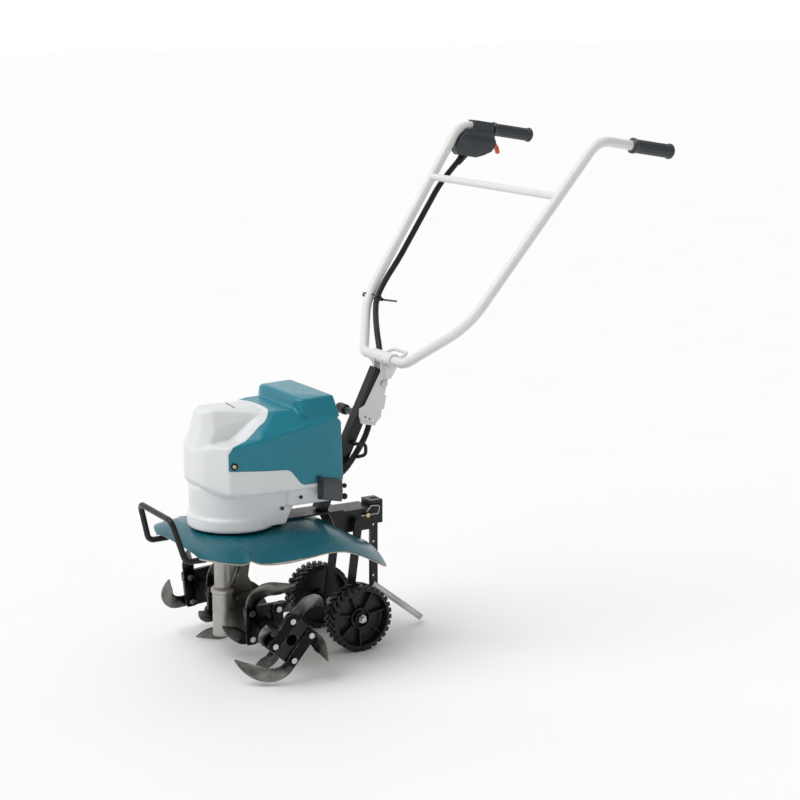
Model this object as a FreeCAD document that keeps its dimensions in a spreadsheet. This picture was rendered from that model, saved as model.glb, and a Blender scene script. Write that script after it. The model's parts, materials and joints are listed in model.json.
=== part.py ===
"""A battery-powered mini tiller, built as separate sub-parts.

The model frame: +X is the operator's left, +Y points back to the operator, +Z up.
Sizes are in millimetres. Inside this file every sub-part is laid out from the point
on the ground below the tine shaft; each Placement then moves it forward by
frame_shift, so that the origin is the bottom centre of the whole machine's box.
"""
import FreeCAD
import Part
import math
import os
import Sketcher

V = FreeCAD.Vector
doc = FreeCAD.newDocument("tiller")
sheet = doc.addObject("Spreadsheet::Sheet", "sizes")

SIZES = [
    # whole machine
    ("frame_shift", 360.85), ("tine_axis_z", 98.0),
    # drive: a vertical motor shaft turns a worm, and the worm turns the tine shaft
    ("column_y", -52.0), ("shaft_r", 10.0), ("drive_shaft_r", 8.0), ("fit_gap", 0.05),
    ("wheel_teeth", 30.0), ("module_size", 2.5), ("worm_pitch_r", 14.5), ("worm_wheel_width", 11.0),
    ("case_top_z", 302.0), ("case_chamber_r", 50.0), ("case_bore_r", 42.0), ("case_half_width", 17.0),
    ("bearing_r", 16.0), ("boss_r", 21.0), ("boss_end", 29.0),
    # tines
    ("hub_tube_r", 15.5), ("hub_bore_r", 12.5), ("pin_r", 4.0), ("hub_start", 33.0), ("hub_end", 228.0),
    ("inner_flange_x", 95.0), ("outer_flange_x", 226.0), ("flange_thick", 5.0),
    ("bolt_long", 64.0), ("bolt_short", 58.0), ("blade_thick", 5.0), ("shank_width", 26.0), ("blade_width", 30.0),
    # handle
    ("tube_r", 11.0), ("tube_wall", 1.8), ("grip_r", 16.5), ("grip_x", 280.0), ("grip_end_y", 932.0), ("grip_end_z", 1090.0),
    ("bend_x", 283.0), ("bend_y", 729.0), ("bend_z", 1124.0), ("kink_x", 225.0), ("kink_y", 438.0),
    ("kink_z", 733.0), ("yoke_x", 92.0), ("yoke_y", 356.0), ("yoke_z", 634.0), ("crossbar_r", 8.5),
    ("crossbar_z", 1004.0), ("cable_r", 7.0),
    # post and bracket
    ("post_size", 26.0), ("post_wall", 2.5), ("post_slope", 63.9), ("post_y", 262.6), ("post_z", 456.0),
    ("pivot_y", 344.8), ("pivot_z", 579.5), ("lock_y", 298.0), ("lock_z", 508.0), ("plate_in", 14.0),
    ("plate_out", 17.0), ("tilt_range", 16.0),
    # transport wheels and drag stake
    ("wheel_r", 75.0), ("wheel_y", 233.0), ("wheel_x", 96.0), ("wheel_width", 46.0), ("axle_r", 6.0),
    ("swing_y", 262.0), ("swing_z", 274.0), ("arm_in", 46.0), ("arm_thick", 5.0),
    ("stake_y", 327.0), ("stake_bottom_z", 104.0), ("stake_top_z", 308.0), ("stake_depth", 18.0),
    ("stake_thick", 9.0), ("tail_r", 8.0), ("tail_end_y", 452.0), ("tail_end_z", 12.0),
    # covers
    ("latch_x", 126.8), ("latch_z", 361.0), ("deck_z", 302.0), ("sheet_metal", 2.0), ("shell", 3.0), ("cover_gap", 0.6),
]
for row, (alias, value) in enumerate(SIZES, 1):
    sheet.set("A%d" % row, alias)
    sheet.set("B%d" % row, str(value))
    sheet.setAlias("B%d" % row, alias)
doc.recompute()


def size(name):
    """One driving dimension, read from the sheet."""
    return float(sheet.get(name))


def worked_out(expression):
    """The value of a formula of sheet sizes."""
    result = sheet.evalExpression(str(expression))
    return float(getattr(result, "Value", result))


AXIS_TURNS = {
    "Z": FreeCAD.Rotation(),
    "X": FreeCAD.Rotation(V(0, 1, 0), 90),
    "Y": FreeCAD.Rotation(V(1, 0, 0), -90),
}


def place(thing, x="0", y="0", z="0", turn=None):
    """Puts a sub-part at x, y, z from the point below the tine shaft."""
    base = V(worked_out(x), worked_out("(%s) - sizes.frame_shift" % y), worked_out(z))
    thing.Placement = FreeCAD.Placement(base, turn or FreeCAD.Rotation())
    thing.setExpression("Placement.Base.x", str(x))
    thing.setExpression("Placement.Base.y", "(%s) - sizes.frame_shift" % y)
    thing.setExpression("Placement.Base.z", str(z))
    return thing


def new_body(label, x="0", y="0", z="0", turn=None):
    body = doc.addObject("PartDesign::Body", label)
    body.Label = label
    return place(body, x, y, z, turn)


def new_sketch(body, role, shift=("0", "0", "0")):
    """A sketch on one of the body's own origin planes, moved by shift in that plane's axes."""
    made = body.newObject("Sketcher::SketchObject", body.Name + "_sketch")
    plane = next(item for item in body.Origin.OriginFeatures if item.Role == role)
    made.AttachmentSupport = [(plane, "")]
    made.MapMode = "FlatFace"
    for axis, formula in zip("xyz", shift):
        made.setExpression("AttachmentOffset.Base." + axis, str(formula))
    return made


def hold(made, kind, target, formula):
    """Adds one dimension to a sketch and binds it to a formula."""
    index = made.addConstraint(Sketcher.Constraint(kind, *target, worked_out(formula)))
    made.setExpression("Constraints[%d]" % index, str(formula))


def draw_outline(made, points):
    """A closed outline with straight sides through points given as pairs of formulas."""
    first = made.GeometryCount
    corners = [V(worked_out(a), worked_out(b), 0) for a, b in points]
    count = len(corners)
    for index in range(count):
        made.addGeometry(Part.LineSegment(corners[index], corners[(index + 1) % count]), False)
    for index in range(count):
        after = first + (index + 1) % count
        made.addConstraint(Sketcher.Constraint("Coincident", first + index, 2, after, 1))
    for index, (a, b) in enumerate(points):
        hold(made, "DistanceX", (-1, 1, first + index, 1), a)
        hold(made, "DistanceY", (-1, 1, first + index, 1), b)


def draw_circle(made, a, b, radius):
    index = made.addGeometry(Part.Circle(V(worked_out(a), worked_out(b), 0), V(0, 0, 1), worked_out(radius)), False)
    hold(made, "DistanceX", (-1, 1, index, 3), a)
    hold(made, "DistanceY", (-1, 1, index, 3), b)
    hold(made, "Radius", (index,), radius)


def add_pad(body, made, length, middle=False, back=False):
    feature = body.newObject("PartDesign::Pad", body.Name + "_pad")
    feature.Profile = made
    feature.setExpression("Length", str(length))
    feature.Midplane = middle
    feature.Reversed = back
    return feature


def add_pocket(body, made, length, middle=False, back=False):
    feature = body.newObject("PartDesign::Pocket", body.Name + "_pocket")
    feature.Profile = made
    feature.setExpression("Length", str(length))
    feature.Midplane = middle
    feature.Reversed = back
    return feature


def add_turn(body, made, kind="Revolution", axis="V_Axis"):
    """A Revolution or a Groove all the way round one of the sketch's axes."""
    feature = body.newObject("PartDesign::" + kind, body.Name + "_turn")
    feature.Profile = made
    feature.ReferenceAxis = (made, [axis])
    feature.Angle = 360
    return feature


def add_ring_pattern(body, feature, count, axis):
    """Repeats a feature around one of the body's origin axes."""
    around = next(item for item in body.Origin.OriginFeatures if item.Role == axis)
    pattern = body.newObject("PartDesign::PolarPattern", body.Name + "_ring")
    pattern.Originals = [feature]
    pattern.Axis = (around, [""])
    pattern.Angle = 360
    pattern.setExpression("Occurrences", str(count))
    body.Tip = pattern
    return pattern


def turned(label, profile, x="0", y="0", z="0", axis="Z"):
    """A lathe-turned sub-part: profile holds (radius, height) pairs about its own axis."""
    body = new_body(label, x, y, z, AXIS_TURNS[axis])
    made = new_sketch(body, "XZ_Plane")
    draw_outline(made, profile)
    add_turn(body, made)
    return body


def ring_profile(inner, outer, low, high):
    return [(inner, low), (outer, low), (outer, high), (inner, high)]


def feature(label, shape):
    """A sub-part whose shape is made directly, in the layout's coordinates."""
    made = doc.addObject("Part::Feature", label)
    made.Label = label
    made.Shape = shape if shape.Placement.isIdentity() else Part.makeCompound([shape])
    return place(made)


# ---- plain solids used inside the direct shapes -------------------------------------------

def rod(x, y, z, radius, length, axis="X"):
    direction = {"X": V(1, 0, 0), "Y": V(0, 1, 0), "Z": V(0, 0, 1)}[axis]
    return Part.makeCylinder(radius, length, V(x, y, z), direction)


def rod_between(start, end, radius):
    return Part.makeCylinder(radius, (end - start).Length, start, end - start)


def block(x0, x1, y0, y1, z0, z1):
    return Part.makeBox(x1 - x0, y1 - y0, z1 - z0, V(x0, y0, z0))


def slab(points, x0, x1):
    """A plate with its outline in the YZ plane, between two X places."""
    wire = Part.makePolygon([V(x0, y, z) for y, z in points + points[:1]])
    return Part.Face(wire).extrude(V(x1 - x0, 0, 0))


def loft(sections, ruled=True):
    wires = [Part.makePolygon([V(*p) for p in section + section[:1]]) for section in sections]
    return Part.makeLoft(wires, True, ruled)


def mirrored(shape):
    return shape.mirror(V(0, 0, 0), V(1, 0, 0))


def hex_bolt(centre, direction, shank_r, length, head_r, head_h, nut=True):
    """A hexagon bolt whose head sits at centre; its shank runs the other way from direction."""
    turn = FreeCAD.Rotation(V(0, 0, 1), direction)
    ring = [V(head_r * math.cos(math.radians(60 * k)), head_r * math.sin(math.radians(60 * k)), 0)
            for k in range(7)]
    head = Part.Face(Part.makePolygon(ring)).extrude(V(0, 0, head_h))
    made = head.fuse(Part.makeCylinder(shank_r, length, V(0, 0, -length)))
    if nut:
        nut_solid = head.copy()
        nut_solid.translate(V(0, 0, -length + 1.0))
        made = made.fuse(nut_solid)
    made.Placement = FreeCAD.Placement(centre, turn)
    return made


def round_wire(points, radii):
    """Straight runs through points, joined by tangent arcs of the given radii."""
    edges = []
    start = points[0]
    for index, radius in enumerate(radii, 1):
        corner = points[index]
        into = (corner - points[index - 1]).normalize()
        out = (points[index + 1] - corner).normalize()
        turn = into.getAngle(out)
        cut = radius * math.tan(turn / 2)
        first = corner - into * cut
        last = corner + out * cut
        inward = (out - into).normalize()
        middle = corner + inward * (radius / math.cos(turn / 2) - radius)
        edges.append(Part.LineSegment(start, first).toShape())
        edges.append(Part.Arc(first, middle, last).toShape())
        start = last
    edges.append(Part.LineSegment(start, points[-1]).toShape())
    return Part.Wire(edges)


def tube_along(wire, radius):
    """A round bar along a wire, checked against its section times its length."""
    start = wire.Edges[0].Vertexes[0].Point
    heading = wire.Edges[0].tangentAt(wire.Edges[0].FirstParameter)
    circle = Part.Wire([Part.Circle(start, heading, radius).toShape()])
    solid = wire.makePipeShell([circle], True, True)
    expected = math.pi * radius * radius * wire.Length
    if abs(solid.Volume - expected) > 0.02 * expected:
        raise RuntimeError("a tube's volume is not its section times its length")
    return solid


def route_radii(points):
    """The largest even bend at each inner point: 0.45 of the shorter run over tan(half turn)."""
    radii = []
    for index in range(1, len(points) - 1):
        into = points[index] - points[index - 1]
        out = points[index + 1] - points[index]
        turn = into.getAngle(out)
        radii.append(0.45 * min(into.Length, out.Length) / math.tan(turn / 2))
    return radii


axis_z = size("tine_axis_z")
shaft_r = size("shaft_r")
deck_z = size("deck_z")
AXLE = ("0", "0", "sizes.tine_axis_z")

# ---- drive ----------------------------------------------------------------------------------

WORM_START_Z = axis_z - 22.0
WORM_END_Z = axis_z + 22.0


def make_gear_case():
    """A cast case: an upright column for the worm shaft and a round chamber for its wheel."""
    body = new_body("gear_case")
    column = new_sketch(body, "YZ_Plane", ("sizes.column_y", "0", "0"))
    draw_outline(column, [("0", "56"), ("23", "56"), ("23", "150"), ("26", "153"), ("26", "160"),
                          ("18", "166"), ("18", "282"), ("38", "292"), ("38", "sizes.case_top_z"),
                          ("0", "sizes.case_top_z")])
    add_turn(body, column)
    chamber = new_sketch(body, "YZ_Plane", ("0", "0", "-sizes.case_half_width"))
    draw_circle(chamber, "0", "sizes.tine_axis_z", "sizes.case_chamber_r")
    add_pad(body, chamber, "sizes.case_half_width + 12")
    web = new_sketch(body, "YZ_Plane")
    draw_outline(web, [("-52", "120"), ("30", "120"), ("8", "180"), ("26", "286"), ("26", "298"), ("-52", "298")])
    add_pad(body, web, "9", middle=True)
    for low, high in (("-38", "16"), ("-28", "26")):
        rib = new_sketch(body, "YZ_Plane")
        draw_outline(rib, [(low, "168"), ("%s + 6" % low, "168"), (high, "284"), ("%s - 6" % high, "284")])
        add_pad(body, rib, "17", middle=True)
    boss = new_sketch(body, "YZ_Plane")
    draw_circle(boss, "0", "sizes.tine_axis_z", "sizes.boss_r")
    add_pad(body, boss, "sizes.boss_end", back=True)
    hollow = new_sketch(body, "YZ_Plane", ("0", "0", "-12"))
    draw_circle(hollow, "0", "sizes.tine_axis_z", "sizes.case_bore_r")
    add_pocket(body, hollow, "24", back=True)
    seat = new_sketch(body, "YZ_Plane", ("0", "0", "-13"))
    draw_circle(seat, "0", "sizes.tine_axis_z", "sizes.bearing_r")
    add_pocket(body, seat, "30")
    neck = new_sketch(body, "YZ_Plane", ("0", "0", "-5"))
    draw_circle(neck, "0", "sizes.tine_axis_z", "sizes.shaft_r + 2")
    add_pocket(body, neck, "30")
    bores = new_sketch(body, "YZ_Plane", ("sizes.column_y", "0", "0"))
    draw_outline(bores, [("0", "62"), ("18.5", "62"), ("18.5", "140"), ("10", "146"),
                         ("10", "sizes.case_top_z + 1"), ("0", "sizes.case_top_z + 1")])
    add_turn(body, bores, "Groove")
    screws = new_sketch(body, "YZ_Plane", ("0", "0", "13"))
    for angle in COVER_SCREW_ANGLES:
        draw_circle(screws, "46 * cos(%d)" % angle, "sizes.tine_axis_z + 46 * sin(%d)" % angle, "2")
    add_pocket(body, screws, "13")
    return body


COVER_SCREW_ANGLES = (0, 60, 120, 240, 300)


def make_gear_case_cover():
    body = new_body("gear_case_cover")
    disc = new_sketch(body, "YZ_Plane", ("0", "0", "12"))
    draw_circle(disc, "0", "sizes.tine_axis_z", "sizes.case_chamber_r")
    for angle in COVER_SCREW_ANGLES:
        draw_circle(disc, "46 * cos(%d)" % angle, "sizes.tine_axis_z + 46 * sin(%d)" % angle, "2.2")
    add_pad(body, disc, "5")
    boss = new_sketch(body, "YZ_Plane", ("0", "0", "12"))
    draw_circle(boss, "0", "sizes.tine_axis_z", "sizes.boss_r")
    add_pad(body, boss, "sizes.boss_end - 12")
    past_column = new_sketch(body, "XY_Plane", ("0", "0", "sizes.tine_axis_z"))
    draw_circle(past_column, "0", "sizes.column_y", "23.3")
    add_pocket(body, past_column, "200", middle=True)
    seat = new_sketch(body, "YZ_Plane", ("0", "0", "sizes.boss_end"))
    draw_circle(seat, "0", "sizes.tine_axis_z", "sizes.bearing_r")
    add_pocket(body, seat, "sizes.boss_end - 13")
    neck = new_sketch(body, "YZ_Plane", ("0", "0", "sizes.boss_end"))
    draw_circle(neck, "0", "sizes.tine_axis_z", "sizes.shaft_r + 2")
    add_pocket(body, neck, "sizes.boss_end")
    return body


def make_small_rings():
    """Bearings and seals, each kind a group of separate rings."""
    gap = size("fit_gap")

    def ring(x, y, z, inner, outer, width, axis):
        whole = rod(x, y, z, outer, width, axis)
        return whole.cut(rod(x, y, z, inner, width, axis))

    outer = size("bearing_r")
    y = size("column_y")
    feature("tine_shaft_bearings", Part.makeCompound([
        ring(x, 0, axis_z, shaft_r + gap, outer, 9, "X") for x in (14, -23)]))
    feature("shaft_seals", Part.makeCompound([
        ring(x, 0, axis_z, shaft_r + gap, outer, 4.5, "X") for x in (24, -28.5)]))
    drive_r = size("drive_shaft_r") + gap
    feature("worm_bearings", Part.makeCompound([
        ring(0, y, 63, drive_r, 18.5, 9, "Z"), ring(0, y, 126, drive_r, 18.5, 10, "Z")]))
    screws = []
    for angle in COVER_SCREW_ANGLES:
        place_y = 46 * math.cos(math.radians(angle))
        place_z = axis_z + 46 * math.sin(math.radians(angle))
        screws.append(hex_bolt(V(17, place_y, place_z), V(1, 0, 0), 2.0, 15, 4.0, 3.2, nut=False))
    feature("case_screws", Part.makeCompound(screws))


def make_worm():
    """The motor's shaft with a right-hand, single-start worm cut on it."""
    lead = math.pi * size("module_size")
    pitch_r = size("worm_pitch_r")
    root_r = pitch_r - 1.2 * size("module_size")
    tip_r = pitch_r + 0.9 * size("module_size")
    y = size("column_y")
    start = WORM_START_Z
    turns = 5
    height = lead * turns
    # A groove of the thread lies on the axis height, on the side that meets the wheel.
    helix = Part.makeHelix(lead, height, root_r)
    half_root = 0.25 * lead + 0.25
    half_tip = 0.13 * lead
    profile = Part.makePolygon([V(root_r - 0.6, 0, -half_root), V(tip_r, 0, -half_tip),
                                V(tip_r, 0, half_tip), V(root_r - 0.6, 0, half_root),
                                V(root_r - 0.6, 0, -half_root)])
    thread = Part.Wire(helix).makePipeShell([profile], True, True)
    thread.rotate(V(0, 0, 0), V(0, 0, 1), 90)
    thread.translate(V(0, y, axis_z - height / 2))
    core = rod(0, y, start - 2, root_r, WORM_END_Z - start + 6, "Z")
    shaft = rod(0, y, 63.5, size("drive_shaft_r"), 318, "Z")
    return feature("worm", core.fuse(shaft).fuse(thread))


def make_worm_wheel():
    """A bronze wheel; its straight teeth leave room for the worm's thread."""
    body = new_body("worm_wheel", *AXLE, turn=AXIS_TURNS["X"])
    blank = new_sketch(body, "XY_Plane", ("0", "0", "-sizes.worm_wheel_width / 2"))
    draw_circle(blank, "0", "0", "sizes.module_size * (sizes.wheel_teeth / 2 + 0.9)")
    draw_circle(blank, "0", "0", "sizes.shaft_r")
    add_pad(body, blank, "sizes.worm_wheel_width")
    space = new_sketch(body, "XY_Plane", ("0", "0", "-sizes.worm_wheel_width / 2"))
    root = "sizes.module_size * (sizes.wheel_teeth / 2 - 1.25)"
    top = "sizes.module_size * (sizes.wheel_teeth / 2 + 1.6)"
    draw_outline(space, [(root, "-1.75"), (top, "-3.35"), (top, "3.35"), (root, "1.75")])
    cut = add_pocket(body, space, "sizes.worm_wheel_width", back=True)
    add_ring_pattern(body, cut, "sizes.wheel_teeth", "Z_Axis")
    return body


def make_motor():
    place_at = ("0", "sizes.column_y", "306")
    turned("motor_can", [("41", "0"), ("44.5", "0"), ("44.5", "86"), ("12", "86"), ("12", "83"),
                         ("41", "83")], *place_at)
    turned("motor_stator", ring_profile("26", "41", "14", "72"), *place_at)
    turned("motor_rotor", ring_profile("sizes.drive_shaft_r", "25", "12", "74"), *place_at)


PIN_PLACES = (60, 160)


def drill_for_pins(body, places):
    """Cross holes through a sub-part that lies along the tine shaft, for the hub pins."""
    holes = new_sketch(body, "XZ_Plane")
    for at in places:
        draw_circle(holes, "0", str(at), "sizes.pin_r")
    add_pocket(body, holes, "60", middle=True)


def make_tine_shaft():
    """A round shaft through the case; the hub tubes slide over its ends."""
    body = turned("tine_shaft", [("0", "-178"), ("sizes.shaft_r", "-178"), ("sizes.shaft_r", "178"),
                                 ("0", "178")], *AXLE, axis="X")
    drill_for_pins(body, PIN_PLACES + tuple(-at for at in PIN_PLACES))
    return body


def make_hub_tube(side, sign):
    """A tube pinned on the shaft; its outer end stays open as a socket."""
    low = "sizes.hub_start"
    high = "sizes.hub_end"
    body = new_body(side + "_hub_tube", *AXLE, turn=FreeCAD.Rotation(V(0, 1, 0), 90 * sign))
    made = new_sketch(body, "XZ_Plane")
    draw_outline(made, [("sizes.shaft_r", low), ("sizes.hub_tube_r", low), ("sizes.hub_tube_r", high),
                        ("sizes.hub_bore_r", high), ("sizes.hub_bore_r", "180"), ("sizes.shaft_r", "180")])
    add_turn(body, made)
    drill_for_pins(body, PIN_PLACES)
    return body


# ---- tines ----------------------------------------------------------------------------------

HALF_LONG = size("bolt_long") / 2
HALF_SHORT = size("bolt_short") / 2
FLANGES = [
    # name, side, place across, plate turn in degrees
    ("left_outer", 1, size("outer_flange_x"), 49.0),
    ("left_inner", 1, size("inner_flange_x"), 0.0),
    ("right_inner", -1, size("inner_flange_x"), 0.0),
    ("right_outer", -1, size("outer_flange_x"), 4.0),
]


def make_flange(name, side, place_x, turn):
    """A rectangular plate with a round middle hole and four blade-bolt holes."""
    rotation = FreeCAD.Rotation(V(1, 0, 0), turn)
    body = new_body(name + "_flange", "%f" % (side * place_x), "0", "sizes.tine_axis_z", rotation)
    made = new_sketch(body, "YZ_Plane")
    edge = 13
    long_half = "sizes.bolt_long / 2 + %d" % edge
    short_half = "sizes.bolt_short / 2 + %d" % edge
    cut = 9
    draw_outline(made, [
        ("-(%s)" % long_half, "-(%s) + %d" % (short_half, cut)),
        ("-(%s) + %d" % (long_half, cut), "-(%s)" % short_half),
        ("%s - %d" % (long_half, cut), "-(%s)" % short_half),
        (long_half, "-(%s) + %d" % (short_half, cut)),
        (long_half, "%s - %d" % (short_half, cut)),
        ("%s - %d" % (long_half, cut), short_half),
        ("-(%s) + %d" % (long_half, cut), short_half),
        ("-(%s)" % long_half, "%s - %d" % (short_half, cut))])
    inner = "sizes.hub_tube_r"
    draw_circle(made, "0", "0", inner)
    for y_sign in ("", "-"):
        for z_sign in ("", "-"):
            draw_circle(made, "%ssizes.bolt_long / 2" % y_sign, "%ssizes.bolt_short / 2" % z_sign, "4.2")
    draw_circle(made, "14", "24", "3")
    add_pad(body, made, "sizes.flange_thick", middle=True)
    return body


def blade(face_x, bolt_a, bolt_b, run, radius, turn, tail, sideways):
    """One curved blade: a flat shank on two bolts, then a sweep that trails and leans sideways.

    face_x is the shank's middle plane, bolt_a and bolt_b are its bolts as (y, z) from the shaft,
    and the blade leaves past bolt_b. Positive sideways leans towards +X.
    """
    shank_half = size("shank_width") / 2
    wide_half = size("blade_width") / 2
    thick = size("blade_thick")
    heading = math.atan2(bolt_b[1] - bolt_a[1], bolt_b[0] - bolt_a[0])
    here = [bolt_b[0], bolt_b[1]]
    here[0] += run * math.cos(heading)
    here[1] += run * math.sin(heading)
    path = [(here[0], here[1], heading, 0.0)]
    steps = 10
    travelled = 0.0
    for _ in range(steps):
        part = math.radians(turn) / steps
        chord = 2 * radius * math.sin(part / 2)
        here[0] += chord * math.cos(heading - part / 2)
        here[1] += chord * math.sin(heading - part / 2)
        heading -= part
        travelled += radius * part
        path.append((here[0], here[1], heading, travelled))
    if tail:
        here[0] += tail * math.cos(heading)
        here[1] += tail * math.sin(heading)
        travelled += tail
        path.append((here[0], here[1], heading, travelled))
    total = travelled
    sections = []
    for y, z, course, done in path:
        share = done / total
        lean = sideways * share ** 1.6
        slope = 1.6 * sideways / total * share ** 0.6
        left = (-math.sin(course), math.cos(course))
        wide = shank_half + (wide_half - shank_half) * min(1.0, share * 4)
        inner = wide * (1.0 - 0.45 * max(0.0, share - 0.7) / 0.3)
        tilt = math.atan(slope)
        normal = (math.cos(tilt), -math.sin(tilt) * math.cos(course), -math.sin(tilt) * math.sin(course))
        corners = []
        for across, through in ((-inner, -0.5), (wide, -0.5), (wide, 0.5), (-inner, 0.5)):
            corners.append((face_x + lean + through * thick * normal[0],
                            y + across * left[0] + through * thick * normal[1],
                            axis_z + z + across * left[1] + through * thick * normal[2]))
        sections.append(corners)
    sweep = loft(sections)
    back = (bolt_a[0] - bolt_b[0], bolt_a[1] - bolt_b[1])
    back_len = math.hypot(*back)
    unit = (back[0] / back_len, back[1] / back_len)
    first = path[0]
    ends = [(first[0], first[1]), (bolt_a[0] + 13 * unit[0], bolt_a[1] + 13 * unit[1])]
    across = (-math.sin(first[2]), math.cos(first[2]))
    outline = []
    for end, sign in ((ends[0], -1), (ends[0], 1), (ends[1], 1), (ends[1], -1)):
        outline.append((end[0] + sign * shank_half * across[0], axis_z + end[1] + sign * shank_half * across[1]))
    shank = slab(outline, face_x - thick / 2, face_x + thick / 2)
    whole = sweep.fuse(shank)
    for bolt in (bolt_a, bolt_b):
        whole = whole.cut(rod(face_x - 20, bolt[0], axis_z + bolt[1], 4.2, 40))
    return whole


def turned_point(y, z, degrees):
    angle = math.radians(degrees)
    return (y * math.cos(angle) - z * math.sin(angle), y * math.sin(angle) + z * math.cos(angle))


def make_blades(name, side, place_x, turn):
    """Two long blades on one face of a flange and two short ones on its other face."""
    offset = (size("flange_thick") + size("blade_thick")) / 2 + 0.1
    outer = name.endswith("outer")
    made = []
    for half_turn in (0.0, 180.0):
        corner = [turned_point(y, z, turn + half_turn) for y, z in (
            (HALF_LONG, -HALF_SHORT), (-HALF_LONG, -HALF_SHORT), (HALF_LONG, HALF_SHORT))]
        if outer:
            made.append(blade(place_x + offset, corner[0], corner[1], 18, 48, 122, 0, -62))
            made.append(blade(place_x - offset, corner[2], corner[0], 14, 32, 80, 0, 34))
        else:
            made.append(blade(place_x + offset, corner[2], corner[0], 12, 41, 96, 40, 42))
            made.append(blade(place_x - offset, corner[0], corner[1], 4, 34, 80, 0, -30))
    if side < 0:
        made = [mirrored(solid) for solid in made]
    feature(name + "_blades", Part.makeCompound(made))


def make_tine_bolts():
    bolts = []
    length = size("flange_thick") + 2 * size("blade_thick") + 9
    for _, side, place_x, turn in FLANGES:
        for y_sign in (-1, 1):
            for z_sign in (-1, 1):
                y, z = turned_point(y_sign * HALF_LONG, z_sign * HALF_SHORT, turn)
                head_x = place_x + size("flange_thick") / 2 + size("blade_thick") + 0.2
                bolts.append(hex_bolt(V(side * head_x, y, axis_z + z), V(side, 0, 0), 4.0, length, 7.0, 5.0))
    feature("tine_bolts", Part.makeCompound(bolts))
    pins = []
    for side in (-1, 1):
        for x in PIN_PLACES:
            pins.append(rod(side * x, -20, axis_z, size("pin_r"), 40, "Y"))
    feature("hub_pins", Part.makeCompound(pins))


# ---- deck, fender, guard ---------------------------------------------------------------------

FENDER_STATIONS = [
    # place along Y, half width, height in the middle, height at the rim
    (-157.0, 112.0, 275.0, 270.0), (-143.0, 165.0, 286.0, 273.0), (-112.0, 188.0, 299.0, 277.0),
    (-72.0, 194.0, 302.0, 278.0), (-20.0, 195.0, 302.0, 262.0), (50.0, 195.0, 302.0, 261.0),
    (110.0, 194.0, 302.0, 263.0), (150.0, 192.0, 299.0, 263.0), (200.0, 188.0, 279.0, 243.0),
    (240.0, 182.0, 256.0, 220.0), (270.0, 166.0, 240.0, 203.0),
]
FENDER_PLACES = (0.0, 0.3, 0.55, 0.75, 0.9, 1.0)


def fender_height(middle, rim, share):
    return middle - (middle - rim) * share ** 2.4


def make_fender():
    """A pressed sheet over the tines, high in the middle and low at its rims and back."""
    thick = size("sheet_metal")
    sections = []
    for y, half, middle, rim in FENDER_STATIONS:
        spots = [-share for share in reversed(FENDER_PLACES)] + list(FENDER_PLACES[1:])
        top = [(half * spot, y, fender_height(middle, rim, abs(spot))) for spot in spots]
        under = [(x, place_y, z - thick) for x, place_y, z in reversed(top)]
        sections.append(top + under)
    shape = loft(sections)
    hole = rod(0, size("column_y"), deck_z - 20, 38.5, 40, "Z")
    slot = block(-56, 56, 192, 300, 200, 320)
    return feature("fender", shape.cut(hole).cut(slot))


def make_mount_plate():
    """The chassis plate: it carries the motor, the battery, the post and the hitch."""
    body = new_body("mount_plate")
    made = new_sketch(body, "XY_Plane", ("0", "0", "sizes.deck_z"))
    draw_outline(made, [("-46", "-98"), ("46", "-98"), ("62", "-60"), ("62", "60"), ("34", "90"),
                        ("34", "232"), ("-34", "232"), ("-34", "90"), ("-62", "60"), ("-62", "-60")])
    draw_circle(made, "0", "sizes.column_y", "11")
    add_pad(body, made, "4")
    return body


def make_front_guard():
    """A bent black bar in front of the machine, bolted to the fender at both feet."""
    foot = (100.0, -136.0, 262.6)
    toe = (98.0, -182.0, 262.6)
    top = (84.0, -206.0, 352.0)
    half = [V(*foot), V(*toe), V(*top)]
    points = [V(-p.x, p.y, p.z) for p in half] + list(reversed(half))
    wire = round_wire(points, (17, 20, 20, 17))
    bar = tube_along(wire, 6.5)
    feature("front_guard", bar)


# ---- housing and cover ------------------------------------------------------------------------

HOUSING_STATIONS = [
    # place along Y, half width, shoulder height, top half width, top height
    (-112.0, 60.0, 484.0, 46.0, 490.0), (-84.0, 96.0, 494.0, 62.0, 512.0),
    (-40.0, 114.0, 505.0, 64.0, 550.0), (60.0, 122.0, 527.0, 78.0, 560.0),
    (160.0, 122.0, 545.0, 92.0, 562.0), (190.0, 116.0, 505.0, 92.0, 522.0),
]
GLAND_Z = 384.0
BODY_LOW_Z = 388.0
TAIL_LOW_Z = 352.0
TAIL_Y = 62.0
# The white top reaches back between the cover's two front arms as half an ellipse.
TONGUE_HALF = 90.0
TONGUE_REACH = 30.0


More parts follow.
